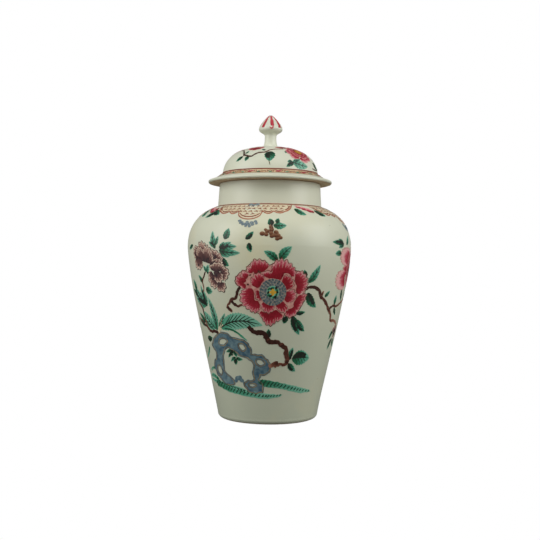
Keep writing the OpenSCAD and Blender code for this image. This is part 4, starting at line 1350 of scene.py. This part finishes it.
for base, tip, width, bend, tone, shade in (
        ((-37.4, 14.0), (-46.0, 8.8), 3.8, 0.3, 0.85, 0), ((-28.8, 14.2), (-31.6, 8.4), 4.0, 0.3, 0.75, 0),
        ((-36.0, 18.0), (-33.0, 22.6), 2.4, 0.2, 0.5, 0), ((-7.6, 22.8), (-13.6, 25.4), 2.6, 0.2, 0.7, 0),
        ((1.2, 20.6), (-1.2, 7.6), 9.4, 0.6, 0.85, 1), ((27.0, 8.0), (50.0, 4.4), 8.0, 0.8, 0.0, 0),
        ((29.0, 7.0), (19.0, 2.6), 4.0, 0.5, 0.9, 1), ((29.0, 8.6), (40.0, 11.8), 4.6, 0.4, 0.2, 0),
        ((27.0, 8.6), (20.6, 7.6), 3.0, 0.2, 0.5, 0),
        ((66.0, 10.0), (76.0, 4.0), 5.0, 0.4, 0.7, 1), ((24.0, 22.0), (21.4, 18.4), 2.4, 0.2, 0.6, 0),
        ((140, 12), (148, 5), 5.0, 0.4, 0.6, 0), ((130, 17), (120, 11), 5.4, 0.4, 0.6, 1),
        ((152, 20), (164, 16), 4.6, 0.4, 0.5, 0), ((172, 28), (184, 22), 4.4, 0.4, 0.6, 1),
        ((232, 14), (226, 22), 4.6, 0.4, 0.6, 0), ((244, 13), (252, 6), 5.0, 0.4, 0.7, 1),
        ((222, 9), (212, 4), 4.6, 0.3, 0.5, 0), ((268, 26), (280, 20), 4.6, 0.3, 0.6, 0),
        ((104, 14), (112, 8), 4.4, 0.3, 0.5, 0)):
    leaf(lid_leaves, lid_ink, lid_skin, base, tip, width, bend, tone, shade)
fire(lid_leaves, "lid_leaves", leaf_green, "green_enamel", "lid")
fire(lid_ink, "lid_leaf_ink", ink, "black_enamel", "lid")
lid_stem = wet()
stroke(lid_stem, lid_skin, [(-1.6, 8.4), (-1.0, 6.4), (-0.2, 3.8)], 0.9, 0.17, (1, 0.3))
fire(lid_stem, "lid_leaf_stem", tan, "brown_enamel", "lid")
lid_rose = wet()
lid_rims = wet()
lid_parts = [wet(), wet(), wet(), wet()]
for centre, size, seed in (((46, 22.6), 14.5, 6), ((114, 33.0), 9.0, 14), ((196, 20.0), 12.0, 15),
                           ((276, 30.0), 9.5, 17)):
    rosette(lid_rose, lid_rims, lid_skin, centre, size, seed, 0.34)
    heart(lid_parts, lid_skin, centre, size / 46, seed, 0.45)
for toward, near, far, width in ((-75, 0, 9, 8), (0, 0, 6, 8), (60, 0, 9, 8), (180, 0, 4, 6)):
    petal(lid_rose, lid_rims, lid_skin, (-26, 27.6), toward, near, far, width, 0.85, 0.16)
for toward, far in ((80, 9), (-80, 8), (0, 5)):
    petal(lid_rose, lid_rims, lid_skin, (25, 31.0), toward, 0, far, 6, 1.0, 0.16)
fire(lid_rose, "lid_peony_petals", rose, "rose_enamel", "lid")
fire(lid_rims, "lid_peony_outlines", rim_line, "rose_enamel", "lid")
for batch, (name, finish, slot) in zip(lid_parts, (
        ("lid_peony_ruffs", yellow_enamel, "yellow_enamel"),
        ("lid_peony_carpels", yellow_enamel, "yellow_enamel"),
        ("lid_peony_ink", iron_red, "iron_red_enamel"),
        ("lid_peony_hearts", yellow_enamel, "yellow_enamel"))):
    fire(batch, name, finish, slot, "lid")


# Painting on the knop. Rose stripes run down the bud from its tip, as the edges of petals would.
knop_skin = Skin(knop_outside, [(height - knop_low.z) / MM for radius, height in knop_outside])
stripes = wet()
for count in range(8):
    at = 8 + 45 * count
    foot = 18.4 if count % 2 else 19.8
    stroke(stripes, knop_skin, [(at, 31.4), (at - 1, 28.4), (at, 24.6), (at - 4 if count else at, foot)],
           3.0, 0.12, (0.5, 0.75), 0.5, 0.2, cell=0.7)
    dab(stripes, knop_skin, (at, 30.0), 2.2, 3.4, 0, 0.1, 0.4)
stroke(stripes, knop_skin, [(8, 20.4), (12, 19.0), (9, 17.6), (1, 17.4), (-4, 18.8)], 1.2, 0.14, (0.9, 0.4),
       0.9, cell=0.7)
stripe_rose = shaded_enamel("stripe_rose", [(0.0, paint(196, 84, 92)), (0.6, paint(188, 66, 76)),
                                            (1.0, paint(170, 44, 56))], streak=(3.0, 4.0))
fire(stripes, "knop_stripes", stripe_rose, "rose_enamel", "lid")
